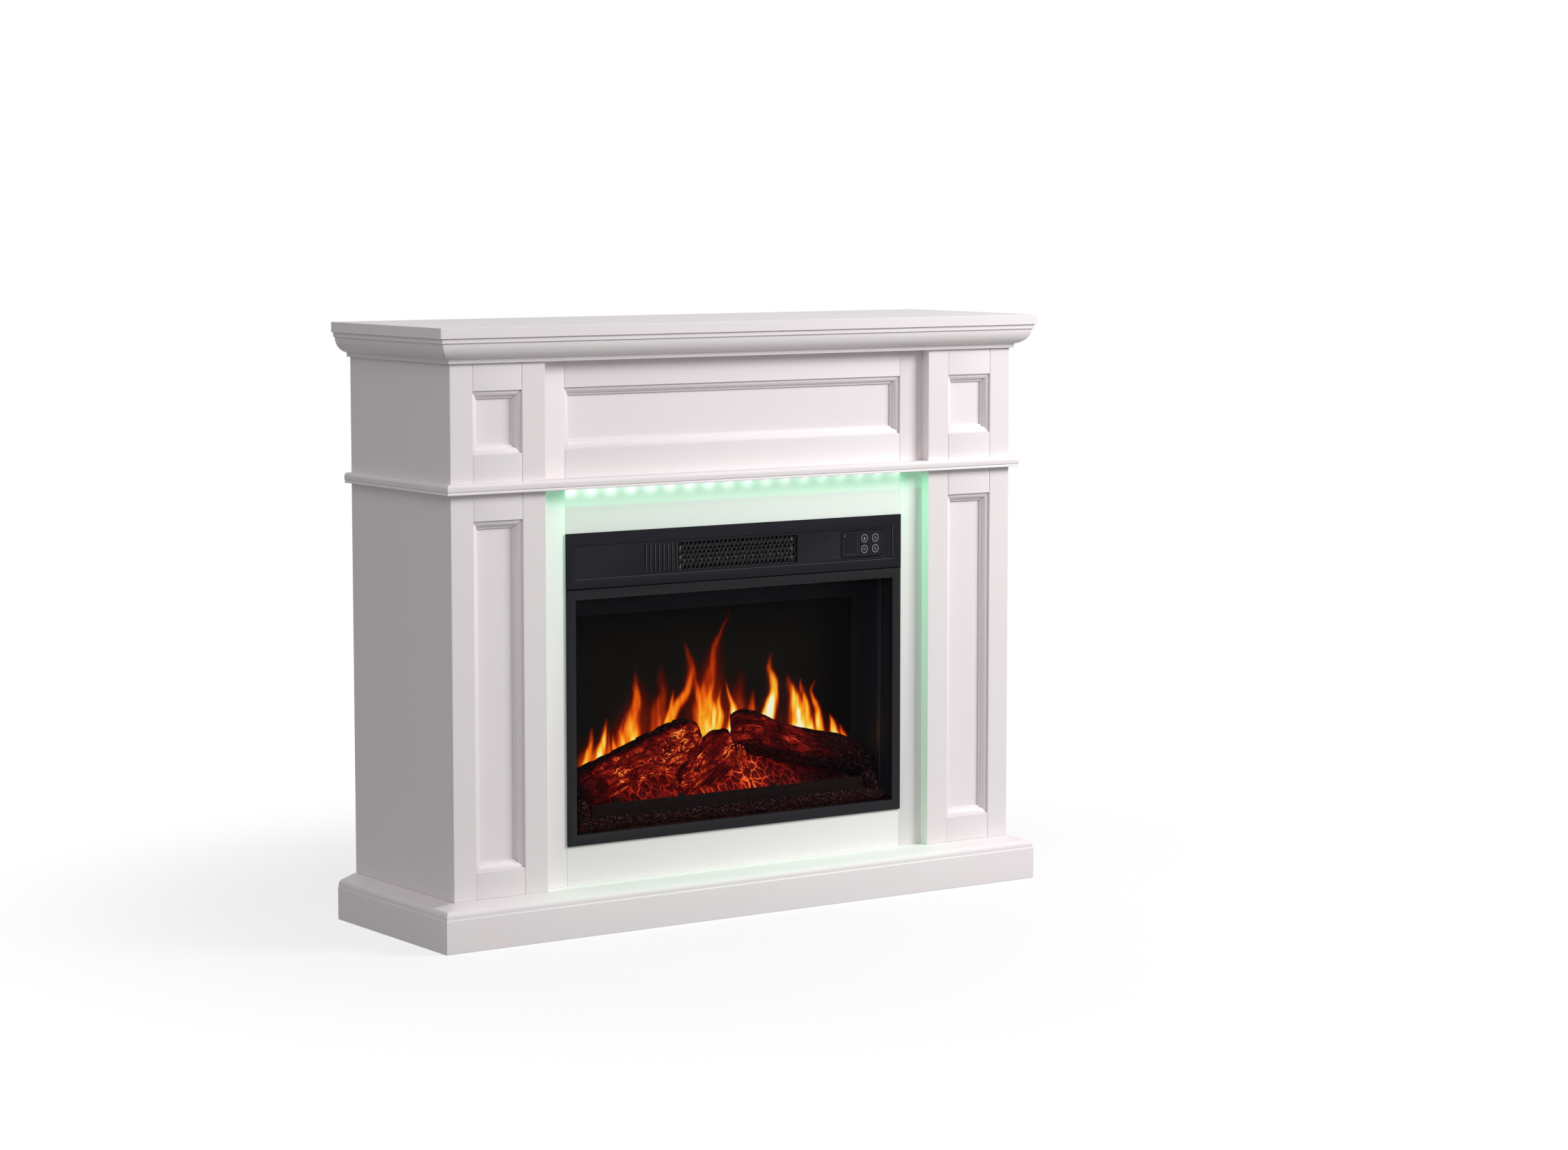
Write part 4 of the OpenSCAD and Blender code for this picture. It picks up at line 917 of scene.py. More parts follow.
@dataclass
class InsertFront:
    """The black frame, the panel above the window with its recess and ribs, and the grille.

    The pressed edges of the panel and the rims of the slots stand a few hundredths of a
    millimetre proud of the sheet, in a paler colour: a painted highlight where they would catch
    the light. A value named sink is how deep such an edge starts behind the face.
    """

    coat: PowderCoat = PowderCoat("frame_coat", "black_powder_coat", (0.0175, 0.0172, 0.0195), 0.5, 0.09)
    # Painted highlight: a paler coat on the crowns of the ribs and the edges of the recess.
    pale_highlight: PowderCoat = PowderCoat("edge_highlight", "black_powder_coat", (0.085, 0.085, 0.093), 0.4, 0.2)
    # Painted highlight: the pale rims on the lit side of the grille's slots.
    rim: PowderCoat = PowderCoat("slot_highlight", "grille_steel", (0.200, 0.200, 0.210), 0.4, 0.2)
    # Painted highlight: the beads are a little paler and bluer than the walls.
    bead_highlight: PowderCoat = PowderCoat("bead_highlight_coat", "black_powder_coat", (0.022, 0.022, 0.030), 0.35, 0.3)
    seam: Plastic = Plastic("joint_black", "black_powder_coat", (0.0012, 0.0012, 0.0014), 0.6, sheen=0.01)

    frame_edge: float = 0.6 * MM
    panel_edge: float = 0.35 * MM
    grate_edge: float = 0.4 * MM

    columns: int = 28
    rows: int = 3
    slot_share: float = 0.62
    slot_corner: float = 1.25
    slot_sides: int = 12
    bridge: float = 1.2 * MM
    lean: float = 28.0
    rim_width: float = 0.34 * MM
    rim_proud: float = 0.02 * MM
    rim_fold: float = 0.16 * MM
    grille_lap: float = 4.0 * MM

    ribs: int = 8
    rib_pitch: float = 7.5 * MM
    rib_gap: float = 2.0 * MM
    rib_width: float = 1.2 * MM
    rib_crown: float = 0.55
    rib_side: float = 0.1 * MM
    rib_proud: float = 0.12 * MM
    rib_sink: float = 0.3 * MM
    rib_end: float = 0.6 * MM
    rib_edge: float = 0.15 * MM

    recess_border: float = 15.5 * MM
    recess_height: float = 48.0 * MM
    recess_corner: float = 3.0 * MM
    trim: float = 0.5 * MM
    trim_lap: float = 0.1 * MM
    side_proud: float = 0.08 * MM
    foot_proud: float = 0.06 * MM
    trim_sink: float = 0.2 * MM

    bead_width: float = 1.8 * MM
    bead_depth: float = 9.0 * MM
    bead_back: float = 24.0 * MM
    bead_side: float = 0.3 * MM
    bead_foot: float = 2.0 * MM
    bead_head: float = 3.0 * MM
    bead_edge: float = 0.85 * MM

    joint_side: float = 0.2 * MM
    joint_proud: float = 0.05 * MM
    joint_sink: float = 2.0 * MM
    joint_below: float = 0.5 * MM
    joint_above: float = 0.4 * MM

    def build(self) -> None:
        """Replace the sheet pieces by copies with rolled edges, and add the pressed edges, painted paler as
        highlights.
        """
        rounded("window_frame", self.coat, self.frame_edge)
        rounded("fascia_panel", BLACK_COAT, self.panel_edge)
        rounded("fire_grate", GRATE_BLACK, self.grate_edge)
        self.slot_highlights()
        self.rib_edges()
        self.recess_edges()
        self.liner_beads()
        self.joint_seam()

    def slot_highlights(self) -> None:
        """Add a thin rolled edge on the lit side of each slot of the grille, painted pale as a highlight."""
        low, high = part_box("heater_grille")
        pitch_x = (high.x - low.x - 2 * self.grille_lap) / self.columns
        pitch_z = (high.z - low.z - 2 * self.grille_lap) / self.rows
        middle = (low + high) / 2
        shape = Shape()
        for column in range(1, self.columns):
            for row in range(self.rows):
                x = middle.x + (column - self.columns / 2) * pitch_x
                z = middle.z + (row + 0.5 - self.rows / 2) * pitch_z
                self.slot_highlight(shape, (x, low.y, z), pitch_x * self.slot_share, pitch_z - self.bridge)
        shape.outward().piece("slot_highlights", CABINET, self.rim)

    def slot_highlight(self, shape: Shape, middle: Point, width: float, height: float) -> None:
        """Add the lit side of one leaning slot, painted pale as a highlight: a part of a round loop, squared
        and leant.

        Args:
            shape: The mesh that gets it.
            middle: The middle of the slot, on the face of the plate.
            width: The width of the slot.
            height: The height of the slot.
        """
        x, y, z = middle
        lean = math.tan(math.radians(self.lean))
        made = bmesh.ops.create_circle(shape.mesh, segments=self.slot_sides, radius=1.0)["verts"]
        edges = {edge for vert in made for edge in vert.link_edges}
        lit = [edge for edge in edges if all(vert.co.x - 0.4 * vert.co.y > -0.2 for vert in edge.verts)]
        outer = bmesh.ops.extrude_edge_only(shape.mesh, edges=lit)["geom"]
        ring = {vert for vert in outer if isinstance(vert, bmesh.types.BMVert)}
        bmesh.ops.delete(shape.mesh, geom=[edge for edge in edges if edge.is_wire], context="EDGES")
        made = [vert for vert in made if vert.is_valid]
        for vert in set(made) | ring:
            grow, rise = (self.rim_width, self.rim_proud) if vert in ring else (0.0, self.rim_fold)
            across, up = (min(max(part * self.slot_corner, -1.0), 1.0) for part in (vert.co.x, vert.co.y))
            up *= height / 2 + grow
            vert.co = Vector((x + across * (width / 2 + grow) + up * lean, y - rise, z + up))

    def rib_edges(self) -> None:
        """Add the rounded crown of each rib beside the grille, painted paler as a highlight."""
        low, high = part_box("heater_grille")
        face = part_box("fascia_panel")[0].y
        end = self.grille_lap + self.rib_end
        shape = Shape()
        for index in range(self.ribs):
            right = low.x + self.grille_lap - self.rib_gap - index * self.rib_pitch
            shape.box((right - self.rib_width * self.rib_crown, face - self.rib_proud, low.z + end),
                      (right - self.rib_side, face + self.rib_sink, high.z - end))
        shape.bevel(self.rib_edge).piece("rib_edges", CABINET, self.pale_highlight)

    def recess_edges(self) -> None:
        """Add the edge on the right and along the foot of the pressed recess, painted bright as a highlight.
        """
        low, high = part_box("fascia_panel")
        grille_low, grille_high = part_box("heater_grille")
        middle = (grille_low.z + grille_high.z) / 2
        right = high.x - self.recess_border
        left = low.x + self.recess_border
        foot, head = middle - self.recess_height / 2, middle + self.recess_height / 2
        sunk = low.y + self.trim_sink
        shape = Shape()
        shape.box((right - self.trim_lap, low.y - self.side_proud, foot + self.recess_corner),
                  (right + self.trim, sunk, head))
        shape.box((left, low.y - self.foot_proud, foot - self.trim * 0.6),
                  (right, sunk, foot + self.trim_lap))
        shape.bevel(self.trim_lap).piece("recess_edges", CABINET, self.pale_highlight)

    def liner_beads(self) -> None:
        """Add the upright bead on each side wall of the fire chamber, a little paler than the walls as a
        painted highlight beside the light its round faces catch.
        """
        low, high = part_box("front_glass")
        front = high.y + self.bead_back
        shape = Shape()
        for side in (-1.0, 1.0):
            wall = side * (high.x - self.bead_side)
            inner = wall - side * self.bead_width
            shape.box((min(wall, inner), front, low.z + self.bead_foot),
                      (max(wall, inner), front + self.bead_depth, high.z - self.bead_head))
        shape.bevel(self.bead_edge, 4).piece("liner_beads", CABINET, self.bead_highlight)

    def joint_seam(self) -> None:
        """Add the dark joint between the window's frame and the panel above it."""
        low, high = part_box("window_frame")
        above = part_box("fascia_panel")[0].z
        Shape().box((low.x + self.joint_side, low.y - self.joint_proud, high.z - self.joint_below),
                    (high.x - self.joint_side, low.y + self.joint_sink, above + self.joint_above)
                    ).piece("joint_seam", CABINET, self.seam)


# ---------------------------------------------------------------- the controls


@dataclass
class Sign:
    """A sign in the making: thin flat lines on a face, in millimetres from its middle."""

    x: float
    z: float
    y: float
    rise: float = 0.1 * MM
    steps: int = 40

    def __post_init__(self) -> None:
        """Start with an empty mesh."""
        self.shape = Shape()

    def plate(self, outline: Iterable[tuple[float, float]]) -> None:
        """Add a thin flat plate with that outline."""
        points = [self.shape.mesh.verts.new((self.x + across * MM, self.y, self.z + up * MM))
                  for across, up in outline]
        self.shape.forward([self.shape.mesh.faces.new(points)], self.rise)

    def ring(self, radius: float, width: float, lift: float = 0.0, start: float = 0.0,
             turn: float = 360.0) -> None:
        """Add a thin flat ring, or a part of one, by spinning its section.

        Args:
            radius: The middle line of the ring.
            width: Its width.
            lift: How far its middle is above the middle of the sign.
            start: Where it starts, in degrees from the top.
            turn: How far it goes, in degrees.
        """
        mesh, half, middle = self.shape.mesh, width * MM / 2, (self.x, self.y, self.z + lift * MM)
        section = [mesh.verts.new((self.x + radius * MM + along, self.y - up, middle[2]))
                   for along, up in ((-half, 0.0), (half, 0.0), (half, self.rise), (-half, self.rise))]
        edges = [mesh.edges.new((section[i], section[(i + 1) % 4])) for i in range(4)]
        bmesh.ops.rotate(mesh, verts=section, cent=middle,
                         matrix=Matrix.Rotation(math.radians(start - 90.0), 3, "Y"))
        bmesh.ops.spin(mesh, geom=section + edges, cent=middle, axis=(0.0, 1.0, 0.0),
                       angle=math.radians(turn), steps=self.steps, use_merge=turn >= 360.0)
        self.shape.outward()


@dataclass
class Controls:
    """The control plate with its window, four buttons and their signs.

    The outlines of the signs are in millimetres from the middle of the button.
    """

    ink: Plastic = Plastic("grey_print", "button_plastic", (0.26, 0.26, 0.28), 0.5)
    # Painted highlight: the pale strip right of the plate and the lit edges below and right of the display.
    trim_highlight: Plastic = Plastic("plate_highlight", "control_plastic", (0.060, 0.060, 0.066), 0.4, sheen=0.1)
    # Painted shadow: the dark seam round the plate and the shaded edges left of and above the display.
    shadow: Plastic = Plastic("seam_shadow_black", "control_plastic", (0.0012, 0.0012, 0.0014), 0.6, sheen=0.02)

    plate_edge: float = 0.5 * MM
    lens_edge: float = 0.2 * MM
    cap_edge: float = 0.4 * MM

    recess_depth: float = 1.0 * MM
    seam: float = 1.20 * MM
    seam_rise: float = 0.15 * MM
    rim: float = 2.5 * MM
    corner: float = 4.0 * MM
    corner_steps: int = 7
    highlight_width: float = 0.4 * MM
    highlight_rise: float = 0.2 * MM
    line: float = 0.45 * MM
    line_proud: float = 0.06 * MM
    line_depth: float = 0.2 * MM
    eye_side: float = 1.5 * MM
    eye_drop: float = 1.0 * MM
    eye_sink: float = 0.05 * MM
    eye_ring: tuple[float, float] = (0.45, 0.7)

    button_ring: tuple[float, float] = (5.5, 0.95)
    flame: Spline = Spline(((0.0, 2.9), (0.9, 1.2), (1.75, -0.5), (1.35, -2.0), (0.0, -2.6), (-1.35, -2.0),
                            (-1.7, -0.6), (-0.6, 0.6), (0.0, 2.9)))
    flame_points: int = 28
    power_ring: tuple[float, ...] = (1.9, 0.55, -0.3, 40.0, 280.0)
    power_bar: tuple[tuple[float, float], ...] = ((-0.3, 0.2), (0.3, 0.2), (0.3, 2.6), (-0.3, 2.6))
    timer_ring: tuple[float, float] = (2.1, 0.5)
    timer_hands: tuple[tuple[float, float], ...] = (
        (-0.25, -0.25), (1.2, -0.25), (1.2, 0.25), (0.25, 0.25), (0.25, 1.5), (-0.25, 1.5))
    waves: tuple[float, ...] = (-1.5, 0.0, 1.5)
    wave_points: int = 8
    wave_step: float = 0.6
    wave_foot: float = -2.1
    wave_swing: float = 0.4
    wave_half: float = 0.25

    def build(self) -> None:
        """Dress the plate and the buttons."""
        rounded("control_plate", CONTROL_CASE, self.plate_edge)
        self.plate_seam_shadow()
        self.display_edges()
        rounded("display_window", DISPLAY_GLOSS, self.lens_edge)
        signs: dict[str, Callable[[Sign], None]] = {
            "flame": self.flame_sign, "power": self.power_sign,
            "timer": self.timer_sign, "heat": self.heat_sign}
        for name, draw in signs.items():
            node, body = "button_" + name, name + "_button"
            rounded(node, BUTTON_CAP, self.cap_edge, body)
            low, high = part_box(node)
            sign = Sign((low.x + high.x) / 2, (low.z + high.z) / 2, low.y)
            sign.ring(*self.button_ring)
            draw(sign)
            sign.shape.piece(node + "_sign", body, self.ink)

    def plate_seam_shadow(self) -> None:
        """Add the dark seam round the plate, painted shadow in its gap, and a painted highlight along its
        right edge.
        """
        low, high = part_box("control_plate")
        rim = Vector((self.rim, 0.0, self.rim))
        low, high = low + rim, high - rim
        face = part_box("fascia_panel")[0].y + self.recess_depth
        shape = Shape()
        inner, outer = (self.round_corners(shape, low, high, face, reach)
                        for reach in (self.corner, self.corner + self.seam))
        faces = [shape.mesh.faces.new((inner[i - 1], inner[i], outer[i], outer[i - 1]))
                 for i in range(len(inner))]
        shape.forward(faces, self.seam_rise).piece("plate_seam_shadow", CABINET, self.shadow)
        start = high.x + self.seam
        edge = Shape().box((start, face - self.highlight_rise, low.z + self.corner),
                           (start + self.highlight_width, face, high.z - self.corner))
        edge.piece("plate_edge", CABINET, self.trim_highlight)

    def round_corners(self, shape: Shape, low: Vector, high: Vector, y: float,
                      reach: float) -> list[bmesh.types.BMVert]:
        """Add the points of a rectangle with round corners.

        Args:
            shape: The mesh that gets the points.
            low: The lower left corner of the plate.
            high: Its upper right corner.
            y: The surface that they lie on.
            reach: The radius of the corners, whose middles keep their place.

        Returns:
            The points in order.
        """
        left, right = low.x + self.corner, high.x - self.corner
        foot, head = low.z + self.corner, high.z - self.corner
        points = []
        for turn, (x, z) in enumerate(((right, head), (left, head), (left, foot), (right, foot))):
            for step in range(self.corner_steps):
                angle = math.radians(90.0 * (turn + step / (self.corner_steps - 1)))
                spot = (x + reach * math.cos(angle), y, z + reach * math.sin(angle))
                points.append(shape.mesh.verts.new(spot))
        return points

    def display_edges(self) -> None:
        """Add the shaded and the lit edges round the display, and the signal's eye beside it."""
        low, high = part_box("display_window")
        line, front = self.line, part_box("control_plate")[0].y - self.line_proud
        back = front + self.line_depth
        dark, light = Shape(), Shape()
        dark.box((low.x - line, front, low.z - line), (low.x, back, high.z + line))
        dark.box((low.x, front, high.z), (high.x, back, high.z + line))
        light.box((high.x, front, low.z - line), (high.x + line, back, high.z + line))
        light.box((low.x, front, low.z - line), (high.x, back, low.z))
        dark.piece("display_shade", CABINET, self.shadow)
        light.piece("display_highlight", CABINET, self.trim_highlight)
        eye = Sign(low.x - self.eye_side, high.z - self.eye_drop, front + self.eye_sink)
        eye.ring(*self.eye_ring)
        eye.shape.piece("signal_eye", CABINET, self.ink)

    def flame_sign(self, sign: Sign) -> None:
        """Draw a drop-shaped flame."""
        sign.plate(self.flame.at(step / self.flame_points) for step in range(self.flame_points))

    def power_sign(self, sign: Sign) -> None:
        """Draw an open ring with a bar at its top."""
        sign.ring(*self.power_ring)
        sign.plate(self.power_bar)

    def timer_sign(self, sign: Sign) -> None:
        """Draw a clock face with its two hands."""
        sign.ring(*self.timer_ring)
        sign.plate(self.timer_hands)

    def heat_sign(self, sign: Sign) -> None:
        """Draw three waves of rising warm air."""
        for middle in self.waves:
            wave = [(middle + self.wave_swing * math.sin(step * 0.9), self.wave_foot + step * self.wave_step)
                    for step in range(self.wave_points)]
            right = [(across + self.wave_half, up) for across, up in wave]
            left = [(across - self.wave_half, up) for across, up in reversed(wave)]
            sign.plate(right + left)


# ---------------------------------------------------------------- logs and embers


@dataclass(frozen=True)
class Bark:
    """The relief of cast bark: low lumps, parted by cracks, under long ridges."""

    cell: float = 15.0
    stretch: float = 1.8
    lump: float = 1.8
    ridge: float = 1.6
    seed: float = 0.0
    sway: float = 0.32
    crack_from: float = 0.02
    crack_to: float = 0.34
    crack_depth: float = 0.8

    def relief(self, along: float, around: Vector) -> tuple[float, float, float]:
        """Work out the bark at one point.

        Args:
            along: How far along the log the point is, in millimetres.
            around: Its place across the log, in millimetres.

        Returns:
            The height in millimetres, how deep in a crack it is, and a random tone.
        """
        spot = Vector((along / self.stretch, around.x, around.y)) / self.cell
        spot += Vector((self.seed, self.seed * 0.7, 0.0))
        spot += noise.noise_vector(spot * 1.3) * self.sway
        distances, points = noise.voronoi(spot)
        gap = distances[1] - distances[0]
        crack = 1.0 - smooth_step(gap, self.crack_from, self.crack_to)
        tone = 0.5 + 0.5 * noise.noise(points[0] * 5.1)
        grain = noise.noise(Vector((spot.x * 0.7, spot.y * 3.2, spot.z * 3.2)))
        rough = noise.fractal(spot * 3.1, 0.9, 2.1, 3)
        height = self.lump * (1.0 - crack) * (0.4 + 0.6 * tone) + self.ridge * (0.5 * grain + 0.35 * rough)
        return height - self.crack_depth * crack, crack, tone


@dataclass(frozen=True)
class Branch:
    """One log: a bent, tapering trunk with cut or broken ends.

    A knot of its path is x, y, z and the radius, in millimetres. It has so many rings of
    points along it and so many sides. The heat rises between the first two shares of its
    length in warm, and falls between the last two. Flat squeezes it from front to back, burl
    is the share of its length that has the ringed burl, and slant leans its broken end.
    Crevice is how dark its cracks are, under how much dimmer the face below the ridge is, and
    shade how much dimmer its underside is.
    """

    name: str
    path: Spline
    bark: Bark
    rings: int
    sides: int
    heat: float = 1.0
    warm: tuple[float, float, float, float] = (-0.2, -0.1, 1.1, 1.2)
    flat: float = 1.0
    burl: float = -1.0
    slant: float = 0.0
    crevice: float = 0.55
    under: float = 0.0
    shade: float = 0.0

    end_insets: tuple[float, ...] = (0.07, 0.12, 0.16, 0.18, 0.20)
    stops: int = 20
    near: float = 0.02
    core_inset: float = 2.2
    burl_reach: float = 15.0
    burl_up: float = 0.25
    slant_share: float = 0.32
    groove_depth: float = 0.75

    def build(self, finish: Resin) -> None:
        """Make the log as one closed piece."""
        shape = Shape()
        bmesh.ops.create_cone(shape.mesh, cap_ends=True, segments=self.sides, radius1=1.0, radius2=1.0,
                              depth=1.0)
        long_edges = [edge for edge in shape.mesh.edges if abs(edge.verts[0].co.z - edge.verts[1].co.z) > 0.5]
        caps = [face for face in shape.mesh.faces if len(face.verts) > 4]
        for thickness in self.end_insets:
            bmesh.ops.inset_region(shape.mesh, faces=caps, thickness=thickness, use_even_offset=False)
        bmesh.ops.poke(shape.mesh, faces=caps)
        bmesh.ops.subdivide_edges(shape.mesh, edges=long_edges, cuts=self.rings, use_grid_fill=True)
        layer = shape.layer("bark")
        stops = [Vector(self.path.at(step / self.stops)[:3]) for step in range(self.stops + 1)]
        length = sum((after - before).length for before, after in zip(stops, stops[1:]))
        for vert in shape.mesh.verts:
            vert.co, vert[layer] = self.mould(vert.co.copy(), length)
        shape.outward().piece(self.name, CABINET, finish, crease=180.0)

    def mould(self, point: Vector, length: float) -> tuple[Vector, Vector]:
        """Find the place on the log of one point of the unit cylinder.

        Args:
            point: The point.
            length: The length of the log in millimetres.

        Returns:
            The place in metres, and how deep in a crack it is, how hot, and its tone.
        """
        share = point.z + 0.5
        across = Vector((point.x, point.y))
        x, y, z, radius = self.path.at(share)
        ahead = self.path.at(min(share + self.near, 1.0))
        behind = self.path.at(max(share - self.near, 0.0))
        axis = (Vector(ahead[:3]) - Vector(behind[:3])).normalized()
        side = axis.cross(Vector((0.0, 0.0, 1.0))).normalized()
        up = side.cross(axis)
        height, crack, tone = self.bark.relief(share * length, across * radius)
        swell, groove = self.burl_rings(share, across, radius, length)
        offset = (side * across.x + up * across.y) * (radius - self.core_inset + height + swell)
        offset.y *= self.flat
        offset.x += offset.y * self.slant * (1.0 - smooth_step(share, 0.0, self.slant_share))
        spot = Vector((x, y, z)) + offset
        if min(share, 1.0 - share) < 0.001:
            bulge, groove = self.end_rings(spot, min(across.length, 1.0))
            spot += axis * (bulge if share > 0.5 else -bulge)
        facing = offset.normalized() if offset.length > 0.0 else axis
        dark = max(crack * self.crevice, groove * self.groove_depth)
        return spot * MM, Vector((dark, self.warmth(share, facing.z), tone))

    def burl_rings(self, share: float, across: Vector, radius: float, length: float) -> tuple[float, float]:
        """Return how far the burl stands out at a point, and how deep its groove is.

        Args:
            share: The point's share of the log's length.
            across: Its place across the log, of radius 1.
            radius: The radius of the log there, in millimetres.
            length: The length of the log in millimetres.

        Returns:
            The height in millimetres and the groove's darkness, from 0.
        """
        if self.burl <= 0.0:
            return 0.0, 0.0
        away = Vector(((share - self.burl) * length, (across.y - self.burl_up) * radius)).length
        away += noise.noise(Vector((share * length, across.y * radius, 3.0)) / 9.0) * 4.0
        if away >= self.burl_reach or across.x <= 0.0:
            return 0.0, 0.0
        ring = math.cos(away * 0.80)
        fade = 1.0 - away / self.burl_reach
        return 1.2 * fade * ring + 1.5 * fade, smooth_step(-ring, 0.1, 0.9) * (0.6 + 1.1 * fade)

    @staticmethod
    def end_rings(spot: Vector, reach: float) -> tuple[float, float]:
        """Return how far a cut end bulges at a place, and how deep its year rings are.

        Args:
            spot: The place, in millimetres.
            reach: How far it is from the middle of the end, of 1 at its rim.

        Returns:
            The bulge in millimetres and the rings' darkness, from 0 to 1.
        """
        rings = math.sin(reach * 24.0 + noise.noise(spot * 0.08) * 3.0)
        bulge = (1.0 - reach) * (3.0 + 1.2 * rings) + noise.noise(spot * 0.15) * 1.5
        return bulge, smooth_step(rings, 0.2, 0.9)

    def warmth(self, share: float, rise: float) -> float:
        """Return the heat at a share of the length, on a face whose normal rises so far."""
        low, high, fall, gone = self.warm
        warmth = smooth_step(share, low, high) * (1.0 - smooth_step(share, fall, gone))
        lit = 1.0 - 0.92 * smooth_step(rise, 0.74, 0.97) - self.under * smooth_step(rise, -0.2, 0.55)
        lit *= 1.0 - self.shade * smooth_step(-rise, -0.05, 0.55)
        return self.heat * warmth * max(lit, 0.0)


@dataclass(frozen=True)
class EmberBed:
    """The bank of glowing lumps under the logs, in millimetres.

    The bank rises to the back, with a heap in its middle, and its ends are low and cooler.
    Below the foot the lumps are drawn out, to hang over the edge, and the floor is where the
    piece is closed.
    """

    low: Point = (-262.0, -87.0, 168.2)
    high: Point = (262.0, -36.0, 214.0)
    columns: int = 520
    rows: int = 72
    cell: float = 12.5
    sway: float = 0.22
    foot: float = 177.0
    drop: float = 0.50
    floor: float = 150.0
    sink: float = 7.0
    heap: float = 34.0
    heap_x: float = 45.0
    heap_half: float = 55.0
    ends: tuple[float, float] = (120.0, 250.0)
    end_drop: float = 14.0
    warm: tuple[float, float, float, float] = (-225.0, -130.0, 70.0, 190.0)

    def build(self, finish: Finish) -> None:
        """Make the bank as one closed piece."""
        shape = Shape()
        size = Vector(self.high) - Vector(self.low)
        bmesh.ops.create_grid(shape.mesh, x_segments=self.columns, y_segments=self.rows, size=0.5)
        layer = shape.layer("bark")
        for vert in shape.mesh.verts:
            vert.co, vert[layer] = self.mould(vert.co.copy(), size)
        rim_edges = [edge for edge in shape.mesh.edges if edge.is_boundary]
        made = bmesh.ops.extrude_edge_only(shape.mesh, edges=rim_edges)["geom"]
        for vert in made:
            if isinstance(vert, bmesh.types.BMVert):
                vert.co.z = self.floor * MM
        loop = [item for item in made if isinstance(item, bmesh.types.BMEdge) and item.is_boundary]
        bmesh.ops.contextual_create(shape.mesh, geom=loop)
        shape.outward().piece("ember_bed", CABINET, finish, crease=180.0)

    def mould(self, point: Vector, size: Vector) -> tuple[Vector, Vector]:
        """Find the place on the bank of one point of the unit grid.

        Args:
            point: The point.
            size: The size of the bank in millimetres.

        Returns:
            The place in metres, and how far the nearest crack is, the heat and the tone.
        """
        back = point.y + 0.5
        x = self.low[0] + (point.x + 0.5) * size.x
        y = self.low[1] + back * size.y
        heap = self.heap * math.exp(-((x - self.heap_x) / self.heap_half) ** 2)
        height = size.z - self.end_drop * smooth_step(abs(x), *self.ends) + heap
        z = self.low[2] + height * back ** 0.75 - self.sink
        folded = max(z, self.foot) + min(z, self.foot) * self.drop
        spot = Vector((x + z * 0.12, y * 0.1, folded * 1.1)) / self.cell
        spot += noise.noise_vector(spot * 1.3) * self.sway
        home, *others = noise.voronoi(spot)[1]
        edge = min(((home + other) / 2 - spot).dot((other - home).normalized()) for other in others)
        tone = 0.5 + 0.5 * noise.noise(home * 3.3)
        lump = smooth_step(edge, 0.0, 0.30) * (2.0 + 2.6 * tone) + noise.noise(spot * 3.1) * 0.8
        lump *= 0.3 + 0.7 * smooth_step(back, 0.0, 0.12)
        glow = smooth_step(noise.noise(Vector((x, y, 3.0)) / 50.0), -0.45, 0.30)
        low, high, fall, gone = self.warm
        warmth = smooth_step(x, low, high) * (1.0 - smooth_step(x, fall, gone))
        heat = (0.62 + 0.38 * glow) * (0.10 + 0.90 * warmth)
        return Vector((x, y - 0.6 * lump, z + 0.8 * lump)) * MM, Vector((edge, heat, tone))


